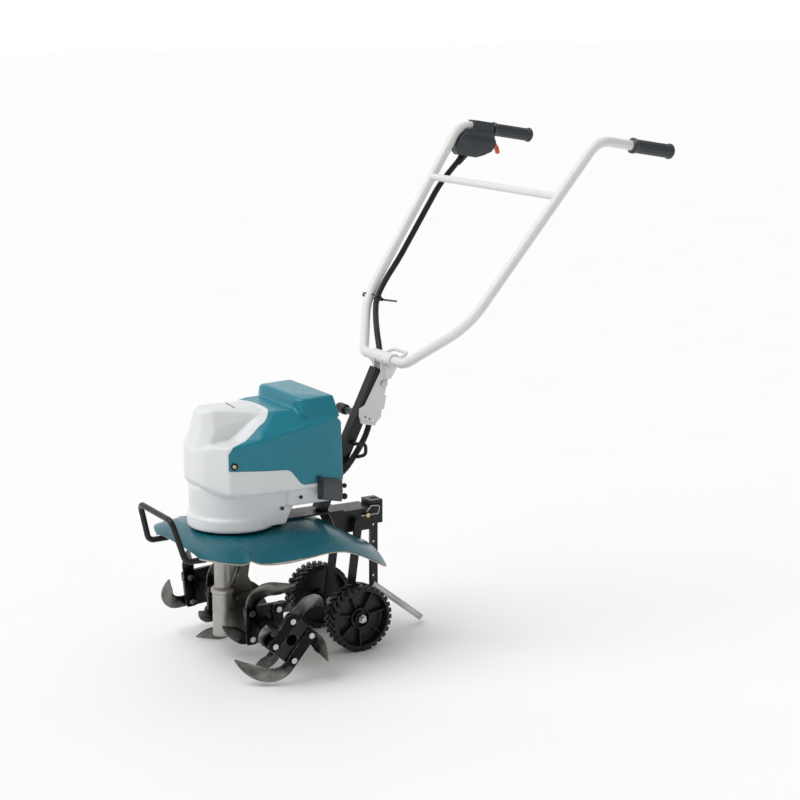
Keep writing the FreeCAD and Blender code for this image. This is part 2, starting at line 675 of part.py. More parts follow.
def housing_outer(inset):
    """The whole closed outside of the housing, moved inward by inset."""
    sections = []
    low = BODY_LOW_Z + inset
    stations = list(HOUSING_STATIONS)
    for index, (y, half, shoulder, top_half, top) in enumerate(stations):
        if index == 0:
            y += inset
        if index == len(stations) - 1:
            y -= inset
        half -= inset
        top_half -= inset
        shoulder -= inset * 0.6
        top -= inset
        sections.append([(-half, y, low), (half, y, low), (half, y, shoulder),
                         (top_half, y, top), (-top_half, y, top), (-half, y, shoulder)])
    whole = loft(sections)
    nose = loft([
        [(-50 + inset, -111 + inset, 470), (50 - inset, -111 + inset, 470),
         (50 - inset, 0, 470), (-50 + inset, 0, 470)],
        [(-34 + inset, -90 + inset, 567 - inset), (34 - inset, -86 + inset, 567 - inset),
         (34 - inset, 0, 567 - inset), (-34 + inset, 0, 567 - inset)]])
    hump = loft([
        [(-112 + inset, 70 + inset, 540), (112 - inset, 70 + inset, 540),
         (112 - inset, 186 - inset, 540), (-112 + inset, 186 - inset, 540)],
        [(-100 + inset, 98 + inset, 588 - inset), (100 - inset, 98 + inset, 588 - inset),
         (100 - inset, 174 - inset, 588 - inset), (-100 + inset, 174 - inset, 588 - inset)]])
    tail = loft([
        [(-105 + inset, TAIL_Y + inset - 8, TAIL_LOW_Z + inset), (105 - inset, TAIL_Y + inset - 8, TAIL_LOW_Z + inset),
         (108 - inset, 180 - inset, TAIL_LOW_Z + inset), (-108 + inset, 180 - inset, TAIL_LOW_Z + inset)],
        [(-119 + inset, TAIL_Y + inset - 8, 420), (119 - inset, TAIL_Y + inset - 8, 420),
         (116 - inset, 190 - inset, 420), (-116 + inset, 190 - inset, 420)]])
    skirt = rod(0, -25, deck_z + 5, 92 - inset, 100, "Z")
    back = loft([
        [(-92 + inset, -25, deck_z + 5), (92 - inset, -25, deck_z + 5),
         (92 - inset, 58 - inset, deck_z + 5), (-92 + inset, 58 - inset, deck_z + 5)],
        [(-96 + inset, -25, 400), (96 - inset, -25, 400), (102 - inset, 92 - inset, 400), (-102 + inset, 92 - inset, 400)]])
    for piece in (nose, hump, tail, skirt, back):
        whole = whole.fuse(piece)
    return whole


def cover_region(gap):
    """The space that belongs to the lift-off cover, grown inward by gap."""
    side = slab([(-84 + gap, 445 + gap), (60, 436 + gap), (84, 400 + gap), (220, 400 + gap),
                 (220, 640), (-84 + gap, 640)], -200, 200)
    half = TONGUE_HALF + gap
    rim = [V(half * math.cos(math.radians(step)), (TONGUE_REACH + gap) * math.sin(math.radians(step)), 380)
           for step in range(0, 181, 15)]
    outline = [V(half, -140, 380)] + rim + [V(-half, -140, 380), V(half, -140, 380)]
    tongue = Part.Face(Part.makePolygon(outline)).extrude(V(0, 0, 260))
    return side.cut(tongue)


def housing_screw_rods():
    rods = []
    for sign in (-1, 1):
        for y, z, x in ((86, 372, 112.0), (46, 350, 101.5)):
            rods.append(rod(min(sign * x, sign * (x - 12)), y, z, 4.0, 12))
    return Part.makeCompound(rods)


def make_housing():
    wall = size("shell")
    outside = housing_outer(0)
    inside = housing_outer(wall)
    shell = outside.cut(inside)
    shell = shell.cut(rod(0, -25, deck_z, 88, wall + 8, "Z"))
    gap = size("cover_gap")
    cover = shell.common(cover_region(gap))
    lower = shell.cut(cover_region(0))
    lower = largest(lower)
    lower = lower.cut(rod(40, 175, GLAND_Z, size("cable_r") + 1, 30, "Y"))
    screws = housing_screw_rods()
    feature("housing_screws", screws)
    feature("lower_housing", lower.cut(screws))
    feature("top_cover", largest(cover))
    pack = block(-88, 88, 50, 172, 358, 470)
    pack = pack.fuse(block(-40, 40, 90, 130, 470, 500))
    feature("battery_pack", pack)


def largest(shape):
    return max(shape.Solids, key=lambda solid: solid.Volume)


def make_latch(side, sign):
    """A moulded latch that turns about the barrel at its lower edge, which lies along Y."""
    inner = size("latch_x") - 4
    made = slab([(120, 366), (178, 353), (178, 404), (120, 416)], inner, inner + 6)
    barrel = rod(size("latch_x"), 124, size("latch_z"), 4.0, 50, "Y")
    made = made.fuse(barrel).cut(rod(size("latch_x"), 124, size("latch_z"), 1.5, 50, "Y"))
    if sign < 0:
        made = mirrored(made)
    feature(side + "_latch", made)


def make_bumpers():
    spots = []
    for sign in (-1, 1):
        for z, wall_y, radius in ((382, 185.4, 5.5), (358, 182.0, 7.0)):
            ball = Part.makeSphere(radius, V(sign * 103, 197, z))
            spots.append(ball.fuse(rod(sign * 103, wall_y, z, radius * 0.45, 197 - wall_y, "Y")))
    feature("rear_bumpers", Part.makeCompound(spots))


# ---- post, bracket, handlebar ------------------------------------------------------------------

SLOPE = math.radians(size("post_slope"))
POST_DIR = V(0, math.cos(SLOPE), math.sin(SLOPE))


def post_point(z):
    """The point of the post's middle line at a height."""
    return V(0, size("post_y") + (z - size("post_z")) / math.tan(SLOPE), z)


EAR_THICK = 3.0
# The post's ears, which carry the pivot bolt behind it, as (y, z).
EAR_OUTLINE = [(288, 497), (306, 488), (320, 510), (354, 570), (352, 588), (338, 592), (318, 560)]


def make_post():
    """A square tube from the chassis plate up to the handle's pivot, with an ear on each side."""
    half = size("post_size") / 2
    low = post_point(deck_z + 4)
    high = post_point(612)
    bar = Part.makeBox(2 * half, 2 * half, (high - low).Length)
    bar.translate(V(-half, -half, 0))
    hollow = Part.makeBox(2 * half - 2 * size("post_wall"), 2 * half - 2 * size("post_wall"), (high - low).Length + 2)
    inner = half - size("post_wall")
    hollow.translate(V(-inner, -inner, -1))
    bar = bar.cut(hollow)
    bar.Placement = FreeCAD.Placement(low, FreeCAD.Rotation(V(0, 0, 1), POST_DIR))
    for side in (-half, half - EAR_THICK):
        bar = bar.fuse(slab(EAR_OUTLINE, side, side + EAR_THICK))
    bar = bar.cut(rod(-30, size("pivot_y"), size("pivot_z"), 5.0, 60))
    bar = bar.cut(rod(-30, size("lock_y"), size("lock_z"), 4.1, 60))
    floor = block(-40, 40, 100, 300, 200, deck_z + 4)
    return feature("handle_post", bar.cut(floor))


def arc_slot(pivot, reach, start, end, radius):
    """The space of a round-ended slot that follows an arc about a pivot line along X."""
    ring = rod(-30, pivot.y, pivot.z, reach + radius, 29).cut(rod(-30, pivot.y, pivot.z, reach - radius, 29))
    far_out = 2 * reach
    wedge = slab([(pivot.y, pivot.z)] + [(pivot.y + far_out * math.cos(angle), pivot.z + far_out * math.sin(angle))
                                         for angle in (start, end)], -30, -1)
    slot = ring.common(wedge)
    for angle in (start, end):
        slot = slot.fuse(rod(-30, pivot.y + reach * math.cos(angle), pivot.z + reach * math.sin(angle), radius, 29))
    return slot


# The bracket's side plates from the sleeve down to the row of holes, as (y, z).
PLATE_OUTLINE = [
    (338, 606), (338, 622), (372, 622), (360, 600), (347, 553), (341, 528), (338, 503), (321, 488),
    (287, 496), (282, 512), (284, 528), (297, 534),
]


def make_bracket():
    """Two white side plates, the web behind them, the sleeve and the cable loop, welded into one."""
    plate_in = size("plate_in")
    plate_out = size("plate_out")
    yoke_y = size("yoke_y")
    yoke_z = size("yoke_z")
    far = slab(PLATE_OUTLINE, -plate_out, -plate_in)
    near = slab(PLATE_OUTLINE, plate_in, plate_out)
    pivot = V(0, size("pivot_y"), size("pivot_z"))
    lock = V(0, size("lock_y"), size("lock_z"))
    reach = (lock - pivot).Length
    start = math.atan2(lock.z - pivot.z, lock.y - pivot.y)
    far = far.cut(arc_slot(pivot, reach, start, start + math.radians(size("tilt_range")), 4.2))
    for index in range(3):
        angle = start + math.radians(index * size("tilt_range") / 2)
        spot = rod(0, pivot.y + reach * math.cos(angle), pivot.z + reach * math.sin(angle), 2.4, 30)
        near = near.cut(spot)
    hem = slab([(284, 500), (286, 494), (321, 486), (323, 491)], plate_in, plate_out + 3)
    lip = slab([(341, 528), (347, 553), (352, 552), (346, 520), (340, 522)], plate_in, plate_out)
    hem = hem.fuse(lip)
    web = block(-plate_out, plate_out, 367, 370, 611, 622)
    corners = [(14, 588), (17, 588), (40, 613), (44, 624), (14, 624), (14, 588)]
    wedge = Part.Face(Part.makePolygon([V(x, 348, z) for x, z in corners])).extrude(V(0, 16, 0))
    web = web.fuse(wedge).fuse(mirrored(wedge))
    sleeve = rod(-46, yoke_y, yoke_z, 15.5, 92)
    made = far.fuse(near).fuse(web).fuse(hem)
    cradle = slab([(338, 612), (372, 612), (372, 634), (338, 634)], -plate_out, plate_out)
    made = made.fuse(cradle.cut(block(-plate_in, plate_in, 330, 366, 600, 640))).fuse(sleeve)
    made = made.cut(rod(-50, yoke_y, yoke_z, size("tube_r") + 0.05, 100))
    made = made.cut(rod(-30, pivot.y, pivot.z, 5.0, 60))
    loop_points = [V(-24, yoke_y + 13, yoke_z + 4), V(-24, yoke_y + 38, yoke_z + 14),
                   V(41, yoke_y + 38, yoke_z + 14), V(41, yoke_y + 13, yoke_z + 2)]
    loop_bar = tube_along(round_wire(loop_points, (12, 12)), 4.2)
    hollow = rod(-60, yoke_y, yoke_z, 13.5, 120)
    made = made.fuse(loop_bar.cut(hollow))
    return feature("handle_bracket", made)


HOOK_R = 4.0


def make_cable_hook():
    """A round hook welded to the post's near face; it keeps the cable close behind the post."""
    half = size("post_size") / 2
    points = [V(half, 264, 452), V(27, 264, 452), V(29, 292, 450), V(29, 292, 424), V(29, 270, 422)]
    feature("cable_hook", tube_along(round_wire(points, (8, 11, 9)), HOOK_R))


def make_pivot_bolt():
    bolt = hex_bolt(V(size("plate_out") + 0.2, size("pivot_y"), size("pivot_z")), V(1, 0, 0), 4.9, 42, 8.0, 5.5)
    return feature("pivot_bolt", bolt)


def make_lock_knob():
    """A ribbed knob on a long collar; its stud passes through the far plate's slot and the post."""
    body = new_body("lock_knob", "-sizes.plate_out", "sizes.lock_y", "sizes.lock_z",
                    FreeCAD.Rotation(V(0, 1, 0), -90))
    made = new_sketch(body, "XZ_Plane")
    draw_outline(made, [("0", "-29"), ("4", "-29"), ("4", "0.3"), ("8.5", "0.3"), ("8.5", "42"), ("10", "42"),
                        ("10", "85"), ("7", "90"), ("0", "90")])
    add_turn(body, made)
    notch = new_sketch(body, "XY_Plane", ("0", "0", "46"))
    draw_circle(notch, "11", "0", "2")
    cut = add_pocket(body, notch, "60", back=True)
    add_ring_pattern(body, cut, "10", "Z_Axis")
    return body


def grip_line(sign):
    """The upper run of one tube: its bend, the grip's far end and the direction between."""
    bend = V(sign * size("bend_x"), size("bend_y"), size("bend_z"))
    end = V(sign * size("grip_x"), size("grip_end_y"), size("grip_end_z"))
    return bend, end, (end - bend).normalize()


def handlebar_points():
    bend, end, direction = grip_line(1)
    half = [end - direction * 4.2, bend,
            V(size("kink_x"), size("kink_y"), size("kink_z")),
            V(size("yoke_x"), size("yoke_y"), size("yoke_z"))]
    return half + [V(-p.x, p.y, p.z) for p in reversed(half)]


def make_handlebar():
    points = handlebar_points()
    radii = (52, 150, 42, 42, 150, 52)
    wire = round_wire(points, radii)
    solid_bar = tube_along(wire, size("tube_r"))
    feature("handlebar", solid_bar.cut(tube_along(wire, size("tube_r") - size("tube_wall"))))
    share = (size("crossbar_z") - size("kink_z")) / (size("bend_z") - size("kink_z"))
    half_x = size("kink_x") + share * (size("bend_x") - size("kink_x"))
    y = size("kink_y") + share * (size("bend_y") - size("kink_y"))
    bar = rod(-half_x, y, size("crossbar_z"), size("crossbar_r"), 2 * half_x)
    feature("crossbar", largest(bar.cut(solid_bar)))
    return solid_bar


def make_grip(side, sign):
    """A rubber grip with a collar at its front and a dome at its end."""
    _, end, direction = grip_line(sign)
    body = new_body(side + "_grip", "%f" % end.x, "%f" % end.y, "%f" % end.z,
                    FreeCAD.Rotation(V(0, 0, 1), direction))
    made = new_sketch(body, "XZ_Plane")
    draw_outline(made, [("0", "0"), ("13", "0"), ("sizes.grip_r", "-5"), ("sizes.grip_r", "-10"),
                        ("sizes.grip_r - 1.5", "-13"), ("sizes.grip_r - 1.5", "-108"), ("sizes.grip_r + 1", "-110"),
                        ("sizes.grip_r + 1", "-114"), ("sizes.tube_r", "-116"), ("sizes.tube_r", "-4.2"), ("0", "-4.2")])
    add_turn(body, made)
    return body


def make_switch(solid_bar):
    """The switch box: an upper shell round the tube and a bulged body below it."""
    bend, _, direction = grip_line(-1)
    centre = bend + direction * 52
    slope = math.degrees(math.atan2(direction.z, direction.y))

    def level(shape):
        shape.rotate(centre, V(1, 0, 0), slope)
        return shape

    x = centre.x
    y = centre.y
    z = centre.z
    upper = block(x - 16, x + 19, y - 22, y + 34, z - 16, z + 16)
    upper = upper.makeFillet(7, upper.Edges)
    lower_box = loft([
        [(x - 15, y - 44, z - 10), (x + 21, y - 44, z - 10), (x + 21, y + 40, z - 10), (x - 15, y + 40, z - 10)],
        [(x - 16, y - 60, z - 44), (x + 23, y - 60, z - 44), (x + 23, y + 42, z - 44), (x - 16, y + 42, z - 44)],
        [(x - 11, y - 54, z - 72), (x + 15, y - 54, z - 72), (x + 15, y + 2, z - 72), (x - 11, y + 2, z - 72)]])
    box = level(upper.fuse(lower_box))
    grip_room = rod_between(bend + direction * 89, bend + direction * 150, size("grip_r") + 1.6)
    slot = level(block(x - 5, x + 5, y + 20, y + 60, z - 52, z - 14))
    pin = level(rod(x - 8, y + 29, z - 28, 2.0, 16))
    feature("switch_box", largest(box.cut(solid_bar).cut(slot).cut(grip_room).fuse(pin)))
    pin_y = y + 29
    pin_z = z - 28
    lever = slab([(y + 23, z - 22), (y + 46, z - 24), (y + 64, z - 40), (y + 70, z - 54), (y + 64, z - 57),
                  (y + 55, z - 42), (y + 34, z - 36), (y + 23, z - 40)], x - 4.4, x + 4.4)
    lever = level(lever.cut(rod(x - 6, pin_y, pin_z, 2.05, 12)))
    print("switch lever turns about", level(Part.Vertex(x, pin_y, pin_z)).Point)
    feature("switch_lever", lever)
    start = V(x, y - 46, z - 68)
    gland = Part.makeCone(8.5, 10.5, 26, V(0, 0, 0), V(0, 0, 1))
    heading = (start - V(*UPPER_CABLE[0])).normalize()
    gland.Placement = FreeCAD.Placement(start - heading * 22, FreeCAD.Rotation(V(0, 0, 1), heading))
    hollow = rod_between(start - heading * 26, start - heading * 10, size("cable_r"))
    feature("strain_relief", largest(gland.cut(hollow).cut(box)))
    return start - heading * 10


# The cable's route by hand: switch box, behind the crossbar, down the arm, tie, cable loop, post.
UPPER_CABLE = [
    (-264, 660, 984), (-253, 618, 930), (-247, 575, 872), (-236, 530, 815), (-222, 486, 772),
    (-204, 452, 734), (-166, 428, 706), (-114, 402, 674), (-72, 384, 648), (-50, 375, 622),
    (-41, 366, 598), (-38, 359, 576),
]
LOWER_CABLE = [
    (-37, 353, 554), (-34, 344, 522), (-26, 334, 486), (-12, 314, 456), (8, 287, 437), (22, 263, 419),
    (33, 236, 397), (39.5, 208, 384.4), (40, 178, 384),
]


def make_cables(start):
    cables = []
    for label, route in (("upper_cable", [tuple(start)] + UPPER_CABLE), ("lower_cable", LOWER_CABLE)):
        points = [V(*p) for p in route]
        radii = route_radii(points)
        print(label, "bend radii", [round(r) for r in radii])
        cables.append(tube_along(round_wire(points, radii), size("cable_r") - 0.1))
        feature(label, cables[-1])
    return cables[0]


def make_cable_tie(solid_bar, cable):
    """A plastic tie round the arm and the cable, with its tail left long."""
    arm_at = V(-225, 438, 733) + (V(-283, 729, 1124) - V(-225, 438, 733)) * 0.012
    cable_at = V(-203, 455, 737)
    along = (V(-283, 729, 1124) - V(-225, 438, 733)).normalize()
    across = (cable_at - arm_at).normalize()
    span = (cable_at - arm_at).Length
    out = along.cross(across).normalize()
    frame = FreeCAD.Placement(arm_at, FreeCAD.Rotation(across, out, along, "XYZ"))

    def band(arm_r, cable_r, low, high):
        one = Part.makeCylinder(arm_r, high - low, V(0, 0, low))
        two = Part.makeCylinder(cable_r, high - low, V(span, 0, low))
        tangent = Part.Face(Part.makePolygon([V(0, -arm_r, low), V(span, -cable_r, low), V(span, cable_r, low),
                                              V(0, arm_r, low), V(0, -arm_r, low)])).extrude(V(0, 0, high - low))
        return one.fuse(two).fuse(tangent)

    ring = band(size("tube_r") + 2.2, size("cable_r") + 2.6, -2.4, 2.4).cut(band(
        size("tube_r") + 0.7, size("cable_r") + 1.1, -3, 3))
    head = Part.makeBox(8, 6, 7, V(span, size("cable_r") + 1.6, -3.5))
    tail = Part.makeBox(42, 1.4, 4.4, V(span + 4, size("cable_r") + 5, -2.2))
    tie = ring.fuse(head).fuse(tail)
    tie.Placement = frame
    feature("cable_tie", largest(tie.cut(solid_bar).cut(cable)))


# ---- hitch, wheels, stake -----------------------------------------------------------------------

def make_hitch():
    """A channel under the chassis plate, with the stake's holder pinned into its back."""
    side_out = 32
    channel = block(-side_out, side_out, 198, 306, 252, deck_z)
    channel = channel.cut(block(-side_out + 4, side_out - 4, 190, 320, 240, deck_z - 4))
    swing_y = size("swing_y")
    swing_z = size("swing_z")
    channel = channel.cut(rod(-40, swing_y, swing_z, 8.07, 80))
    channel = channel.cut(rod(-40, 290, 288, 5.0, 80))
    channel = channel.cut(slab([(190, 240), (225, 240), (198, 300), (190, 300)], -50, 50))
    feature("hitch_channel", channel)
    stake_y = size("stake_y")
    depth = size("stake_depth") / 2 + 0.4
    thick = size("stake_thick") / 2 + 0.4
    holder = block(-27.5, 27.5, 276, 306, 260, 316).fuse(block(-20, 20, 300, 340, 260, 314))
    holder = holder.cut(block(-27.6, 27.6, 270, 307, deck_z - 4.2, 330))
    holder = holder.cut(block(-thick, thick, stake_y - depth, stake_y + depth, 250, 330))
    holder = holder.cut(rod(-40, 290, 288, 5.0, 80))
    holder = holder.fuse(block(-26, -14, 310, 334, 268, 304)).fuse(block(14, 26, 310, 334, 268, 304))
    feature("stake_holder", holder)
    pin = rod(-40, 290, 288, 4.9, 83)
    pin = pin.fuse(rod(-44, 290, 288, 8, 4))
    pin = pin.cut(rod(39, 280, 288, 1.3, 20, "Y"))
    feature("hitch_pin", pin)
    clip_points = [V(39, 274, 288), V(39, 318, 288), V(39, 322, 306), V(39, 300, 308), V(39, 288, 296)]
    clip = tube_along(round_wire(clip_points, (5, 5, 4)), 1.2)
    feature("hitch_clip", clip)


def make_drag_stake():
    """A flat bar with a row of holes; a round bar at its foot drags in the soil."""
    body = new_body("drag_stake")
    made = new_sketch(body, "YZ_Plane")
    low_y = "sizes.stake_y - sizes.stake_depth / 2"
    high_y = "sizes.stake_y + sizes.stake_depth / 2"
    draw_outline(made, [(low_y, "sizes.stake_bottom_z"), (high_y, "sizes.stake_bottom_z"),
                        (high_y, "sizes.stake_top_z"), (low_y, "sizes.stake_top_z")])
    for number in range(4):
        draw_circle(made, "sizes.stake_y", "sizes.stake_bottom_z + %d" % (28 + 40 * number), "4")
    add_pad(body, made, "sizes.stake_thick", middle=True)
    start = V(0, size("stake_y") - 4, size("stake_bottom_z") + 10)
    end = V(0, size("tail_end_y"), size("tail_end_z"))
    bar = rod_between(start, end, size("tail_r"))
    plate = block(-size("stake_thick") / 2, size("stake_thick") / 2, size("stake_y") - 20,
                  size("stake_y") + size("stake_depth") / 2, size("stake_bottom_z") - 2, 400)
    feature("tail_bar", largest(bar.cut(plate)))


def make_carrier():
    """Two flat arms with a pivot tube above and the wheel axle below."""
    swing = (size("swing_y"), size("swing_z"))
    axle = (size("wheel_y"), size("wheel_r"))
    arm_in = size("arm_in")
    arm_out = arm_in + size("arm_thick")
    half = 10
    outline = [(swing[0] - half, swing[1] + 8), (swing[0] + half, swing[1] + 8), (axle[0] + half, axle[1] - 8),
               (axle[0] - half, axle[1] - 8)]
    arm = slab(outline, arm_in, arm_out).fuse(rod(arm_in, swing[0], swing[1], 12, arm_out - arm_in))
    arm = arm.fuse(rod(arm_in, axle[0], axle[1], 12, arm_out - arm_in))
    tube = rod(-arm_in, swing[0], swing[1], 8.0, 2 * arm_in)
    arm = arm.cut(rod(0, axle[0], axle[1], size("axle_r"), 200))
    for step in (44, 66):
        share = step / math.hypot(axle[0] - swing[0], axle[1] - swing[1])
        arm = arm.cut(rod(0, swing[0] + share * (axle[0] - swing[0]), swing[1] + share * (axle[1] - swing[1]), 3, 200))
    made = arm.fuse(mirrored(arm)).fuse(tube)
    feature("wheel_carrier", made)
    reach = size("wheel_x") + size("wheel_width") / 2 + 6
    stub = rod(arm_in - 8, axle[0], axle[1], size("axle_r"), reach - arm_in + 8)
    stub = stub.fuse(rod(arm_in - 8, axle[0], axle[1], 9.0, 8))
    stub = stub.fuse(rod(arm_out, axle[0], axle[1], 9.0, 20))
    feature("wheel_axles", Part.makeCompound([stub, mirrored(stub)]))
    nuts = []
    for side in (-1, 1):
        nuts.append(hex_bolt(V(side * (size("wheel_x") + 15.5), axle[0], axle[1]), V(side, 0, 0), 6.5, 0.4, 10.0, 7.0,
                             nut=False).cut(rod(-reach - 5, axle[0], axle[1], size("axle_r"), 2 * reach + 10)))
    feature("wheel_nuts", Part.makeCompound(nuts))


def make_wheel(side, sign):
    """A moulded wheel: a chunky tread band, a dished web with ribs and a hub."""
    body = new_body(side + "_wheel", "%d * sizes.wheel_x" % sign, "sizes.wheel_y", "sizes.wheel_r",
                    FreeCAD.Rotation(V(0, 1, 0), 90 * sign))
    made = new_sketch(body, "XZ_Plane")
    wide = "sizes.wheel_width / 2"
    draw_outline(made, [
        ("sizes.axle_r + 0.05", "-14"), ("14", "-14"), ("14", "-4"), ("sizes.wheel_r - 14", "-4"),
        ("sizes.wheel_r - 12", "-(%s)" % wide), ("sizes.wheel_r - 3", "-(%s)" % wide),
        ("sizes.wheel_r", "-(%s) + 4" % wide), ("sizes.wheel_r", "%s - 4" % wide),
        ("sizes.wheel_r - 3", wide), ("sizes.wheel_r - 12", wide), ("sizes.wheel_r - 14", "0"),
        ("24", "0"), ("24", "14"), ("20", "14"), ("20", "4"), ("14", "4"), ("14", "15"),
        ("sizes.axle_r + 0.05", "15")])
    add_turn(body, made)
    rib = new_sketch(body, "XY_Plane", ("0", "0", "-1"))
    draw_outline(rib, [("22", "-1.3"), ("sizes.wheel_r - 12.5", "-1.3"), ("sizes.wheel_r - 12.5", "1.3"),
                       ("22", "1.3")])
    spoke = add_pad(body, rib, "13")
    add_ring_pattern(body, spoke, "7", "Z_Axis")
    return body


# ---- build everything ------------------------------------------------------------------------------

make_gear_case()
make_gear_case_cover()
make_small_rings()
make_worm()
make_worm_wheel()
make_motor()
make_tine_shaft()
for side_name, side_sign in (("left", 1), ("right", -1)):
    make_hub_tube(side_name, side_sign)
    make_latch(side_name, side_sign)
    make_grip(side_name, side_sign)
    make_wheel(side_name, side_sign)
for flange in FLANGES:
    make_flange(*flange)
    make_blades(*flange)
make_tine_bolts()
make_fender()
make_mount_plate()
make_front_guard()
make_housing()
make_bumpers()
make_post()
make_bracket()
make_cable_hook()
make_pivot_bolt()
make_lock_knob()
bar_solid = make_handlebar()
cable_solid = make_cables(make_switch(bar_solid))
make_cable_tie(bar_solid, cable_solid)
make_hitch()
make_drag_stake()
make_carrier()
doc.recompute()


def sub_parts():
    """Every object that is a piece of the machine."""
    return [item for item in doc.Objects if item.TypeId in ("PartDesign::Body", "Part::Feature")]


def check_and_export():
    for item in doc.Objects:
        if "Invalid" in item.State or "Error" in item.State:
            raise RuntimeError("%s failed: %s" % (item.Label, item.State))
    os.makedirs("parts", exist_ok=True)
    box = FreeCAD.BoundBox()
    for item in sub_parts():
        shape = item.Shape
        if shape.isNull() or not shape.isValid() or not shape.Solids:
            raise RuntimeError(item.Label + " has no valid solid")
        box.add(shape.BoundBox)
        shape.exportStep("parts/%s.step" % item.Label)
    print("sub-parts", len(sub_parts()), "box", box)


check_and_export()
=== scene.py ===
"""The looks of the battery garden tiller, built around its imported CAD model.

Places are given in millimetres from the ground point below the tine shaft, with
+X the operator's left, +Y towards the operator and +Z up; at() turns them into metres.
"""
import json
import math

import bmesh
import bpy
from mathutils import Matrix, Vector


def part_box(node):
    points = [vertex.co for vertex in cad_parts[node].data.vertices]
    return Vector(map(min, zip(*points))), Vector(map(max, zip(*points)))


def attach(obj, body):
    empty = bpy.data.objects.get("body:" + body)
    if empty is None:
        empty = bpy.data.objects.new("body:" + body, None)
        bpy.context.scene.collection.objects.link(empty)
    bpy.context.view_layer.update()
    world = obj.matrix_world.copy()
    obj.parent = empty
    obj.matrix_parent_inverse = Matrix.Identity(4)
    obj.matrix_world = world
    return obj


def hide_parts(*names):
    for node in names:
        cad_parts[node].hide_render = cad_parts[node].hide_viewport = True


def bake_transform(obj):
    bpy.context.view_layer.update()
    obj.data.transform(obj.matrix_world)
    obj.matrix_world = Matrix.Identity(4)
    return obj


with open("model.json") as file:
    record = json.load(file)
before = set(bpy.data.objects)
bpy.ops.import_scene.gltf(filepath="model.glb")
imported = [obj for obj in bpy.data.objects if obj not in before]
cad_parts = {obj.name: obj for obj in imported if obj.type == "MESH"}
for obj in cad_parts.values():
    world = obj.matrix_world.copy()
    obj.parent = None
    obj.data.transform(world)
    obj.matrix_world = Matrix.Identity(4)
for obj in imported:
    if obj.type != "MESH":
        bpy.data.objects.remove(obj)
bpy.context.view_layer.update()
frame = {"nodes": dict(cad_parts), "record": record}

NODES = frame["nodes"]


def middle(node):
    low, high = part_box(node)
    return (low + high) / 2


SHAFT = middle("tine_shaft")
MM = 0.001


def at(x, y, z):
    return Vector((x * MM, y * MM + SHAFT.y, z * MM))


# ---- materials ----------------------------------------------------------------------------

def link(tree, source, target):
    tree.links.new(source, target)


def noise(tree, coords, scale, detail=4.0):
    node = tree.nodes.new("ShaderNodeTexNoise")
    node.inputs["Scale"].default_value = scale
    node.inputs["Detail"].default_value = detail
    link(tree, coords, node.inputs["Vector"])
    return node.outputs["Fac"]


def spread(tree, value, low, high, out_low, out_high):
    """Maps a value from one span to another, clamped."""
    node = tree.nodes.new("ShaderNodeMapRange")
    node.inputs["From Min"].default_value = low
    node.inputs["From Max"].default_value = high
    node.inputs["To Min"].default_value = out_low
    node.inputs["To Max"].default_value = out_high
    link(tree, value, node.inputs["Value"])
    return node.outputs["Result"]


def mix_colour(tree, factor, first, second):
    node = tree.nodes.new("ShaderNodeMix")
    node.data_type = "RGBA"
    link(tree, factor, node.inputs["Factor"])
    for socket, value in ((node.inputs["A"], first), (node.inputs["B"], second)):
        if isinstance(value, tuple):
            socket.default_value = (*value, 1.0)
        else:
            link(tree, value, socket)
    return node.outputs["Result"]


def calculate(tree, kind, first, second):
    node = tree.nodes.new("ShaderNodeMath")
    node.operation = kind
    for socket, value in ((node.inputs[0], first), (node.inputs[1], second)):
        if isinstance(value, (int, float)):
            socket.default_value = value
        else:
            link(tree, value, socket)
    return node.outputs["Value"]


def edge_mask(tree, radius):
    """1 on sharp edges and 0 on flats, from how far a rounded normal leans from the real one."""
    rounded = tree.nodes.new("ShaderNodeBevel")
    rounded.samples = 6
    rounded.inputs["Radius"].default_value = radius
    geometry = tree.nodes.new("ShaderNodeNewGeometry")
    dot = tree.nodes.new("ShaderNodeVectorMath")
    dot.operation = "DOT_PRODUCT"
    link(tree, rounded.outputs["Normal"], dot.inputs[0])
    link(tree, geometry.outputs["Normal"], dot.inputs[1])
    return spread(tree, dot.outputs["Value"], 0.985, 0.80, 0.0, 1.0)


def shaft_distance(tree, place):
    """0 near the tine shaft, where the old black paint is left, and 1 where soil has polished the steel."""
    offset = tree.nodes.new("ShaderNodeVectorMath")
    offset.operation = "SUBTRACT"
    offset.inputs[1].default_value = SHAFT
    link(tree, place.outputs["Object"], offset.inputs[0])
    flat = tree.nodes.new("ShaderNodeVectorMath")
    flat.operation = "MULTIPLY"
    flat.inputs[1].default_value = (0, 1, 1)
    link(tree, offset.outputs["Vector"], flat.inputs[0])
    length = tree.nodes.new("ShaderNodeVectorMath")
    length.operation = "LENGTH"
    link(tree, flat.outputs["Vector"], length.inputs[0])
    ragged = noise(tree, place.outputs["Object"], 45.0, 5.0)
    reach = calculate(tree, "ADD", length.outputs["Value"], spread(tree, ragged, 0.3, 0.7, -0.012, 0.012))
    return spread(tree, reach, 0.058, 0.092, 0.0, 1.0)


def web_shade_behind_leg(tree, place):
    """0 on the leg's round tube and 1 on the web behind it, which is darkened there as painted shade."""
    split = tree.nodes.new("ShaderNodeSeparateXYZ")
    link(tree, place.outputs["Object"], split.inputs["Vector"])
    patchy = spread(tree, noise(tree, place.outputs["Object"], 30.0, 5.0), 0.3, 0.7, -0.014, 0.014)
    back = calculate(tree, "ADD", split.outputs["Y"], patchy)
    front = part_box("gear_case")[0].y
    return spread(tree, back, front + 0.044, front + 0.070, 0.0, 0.9)


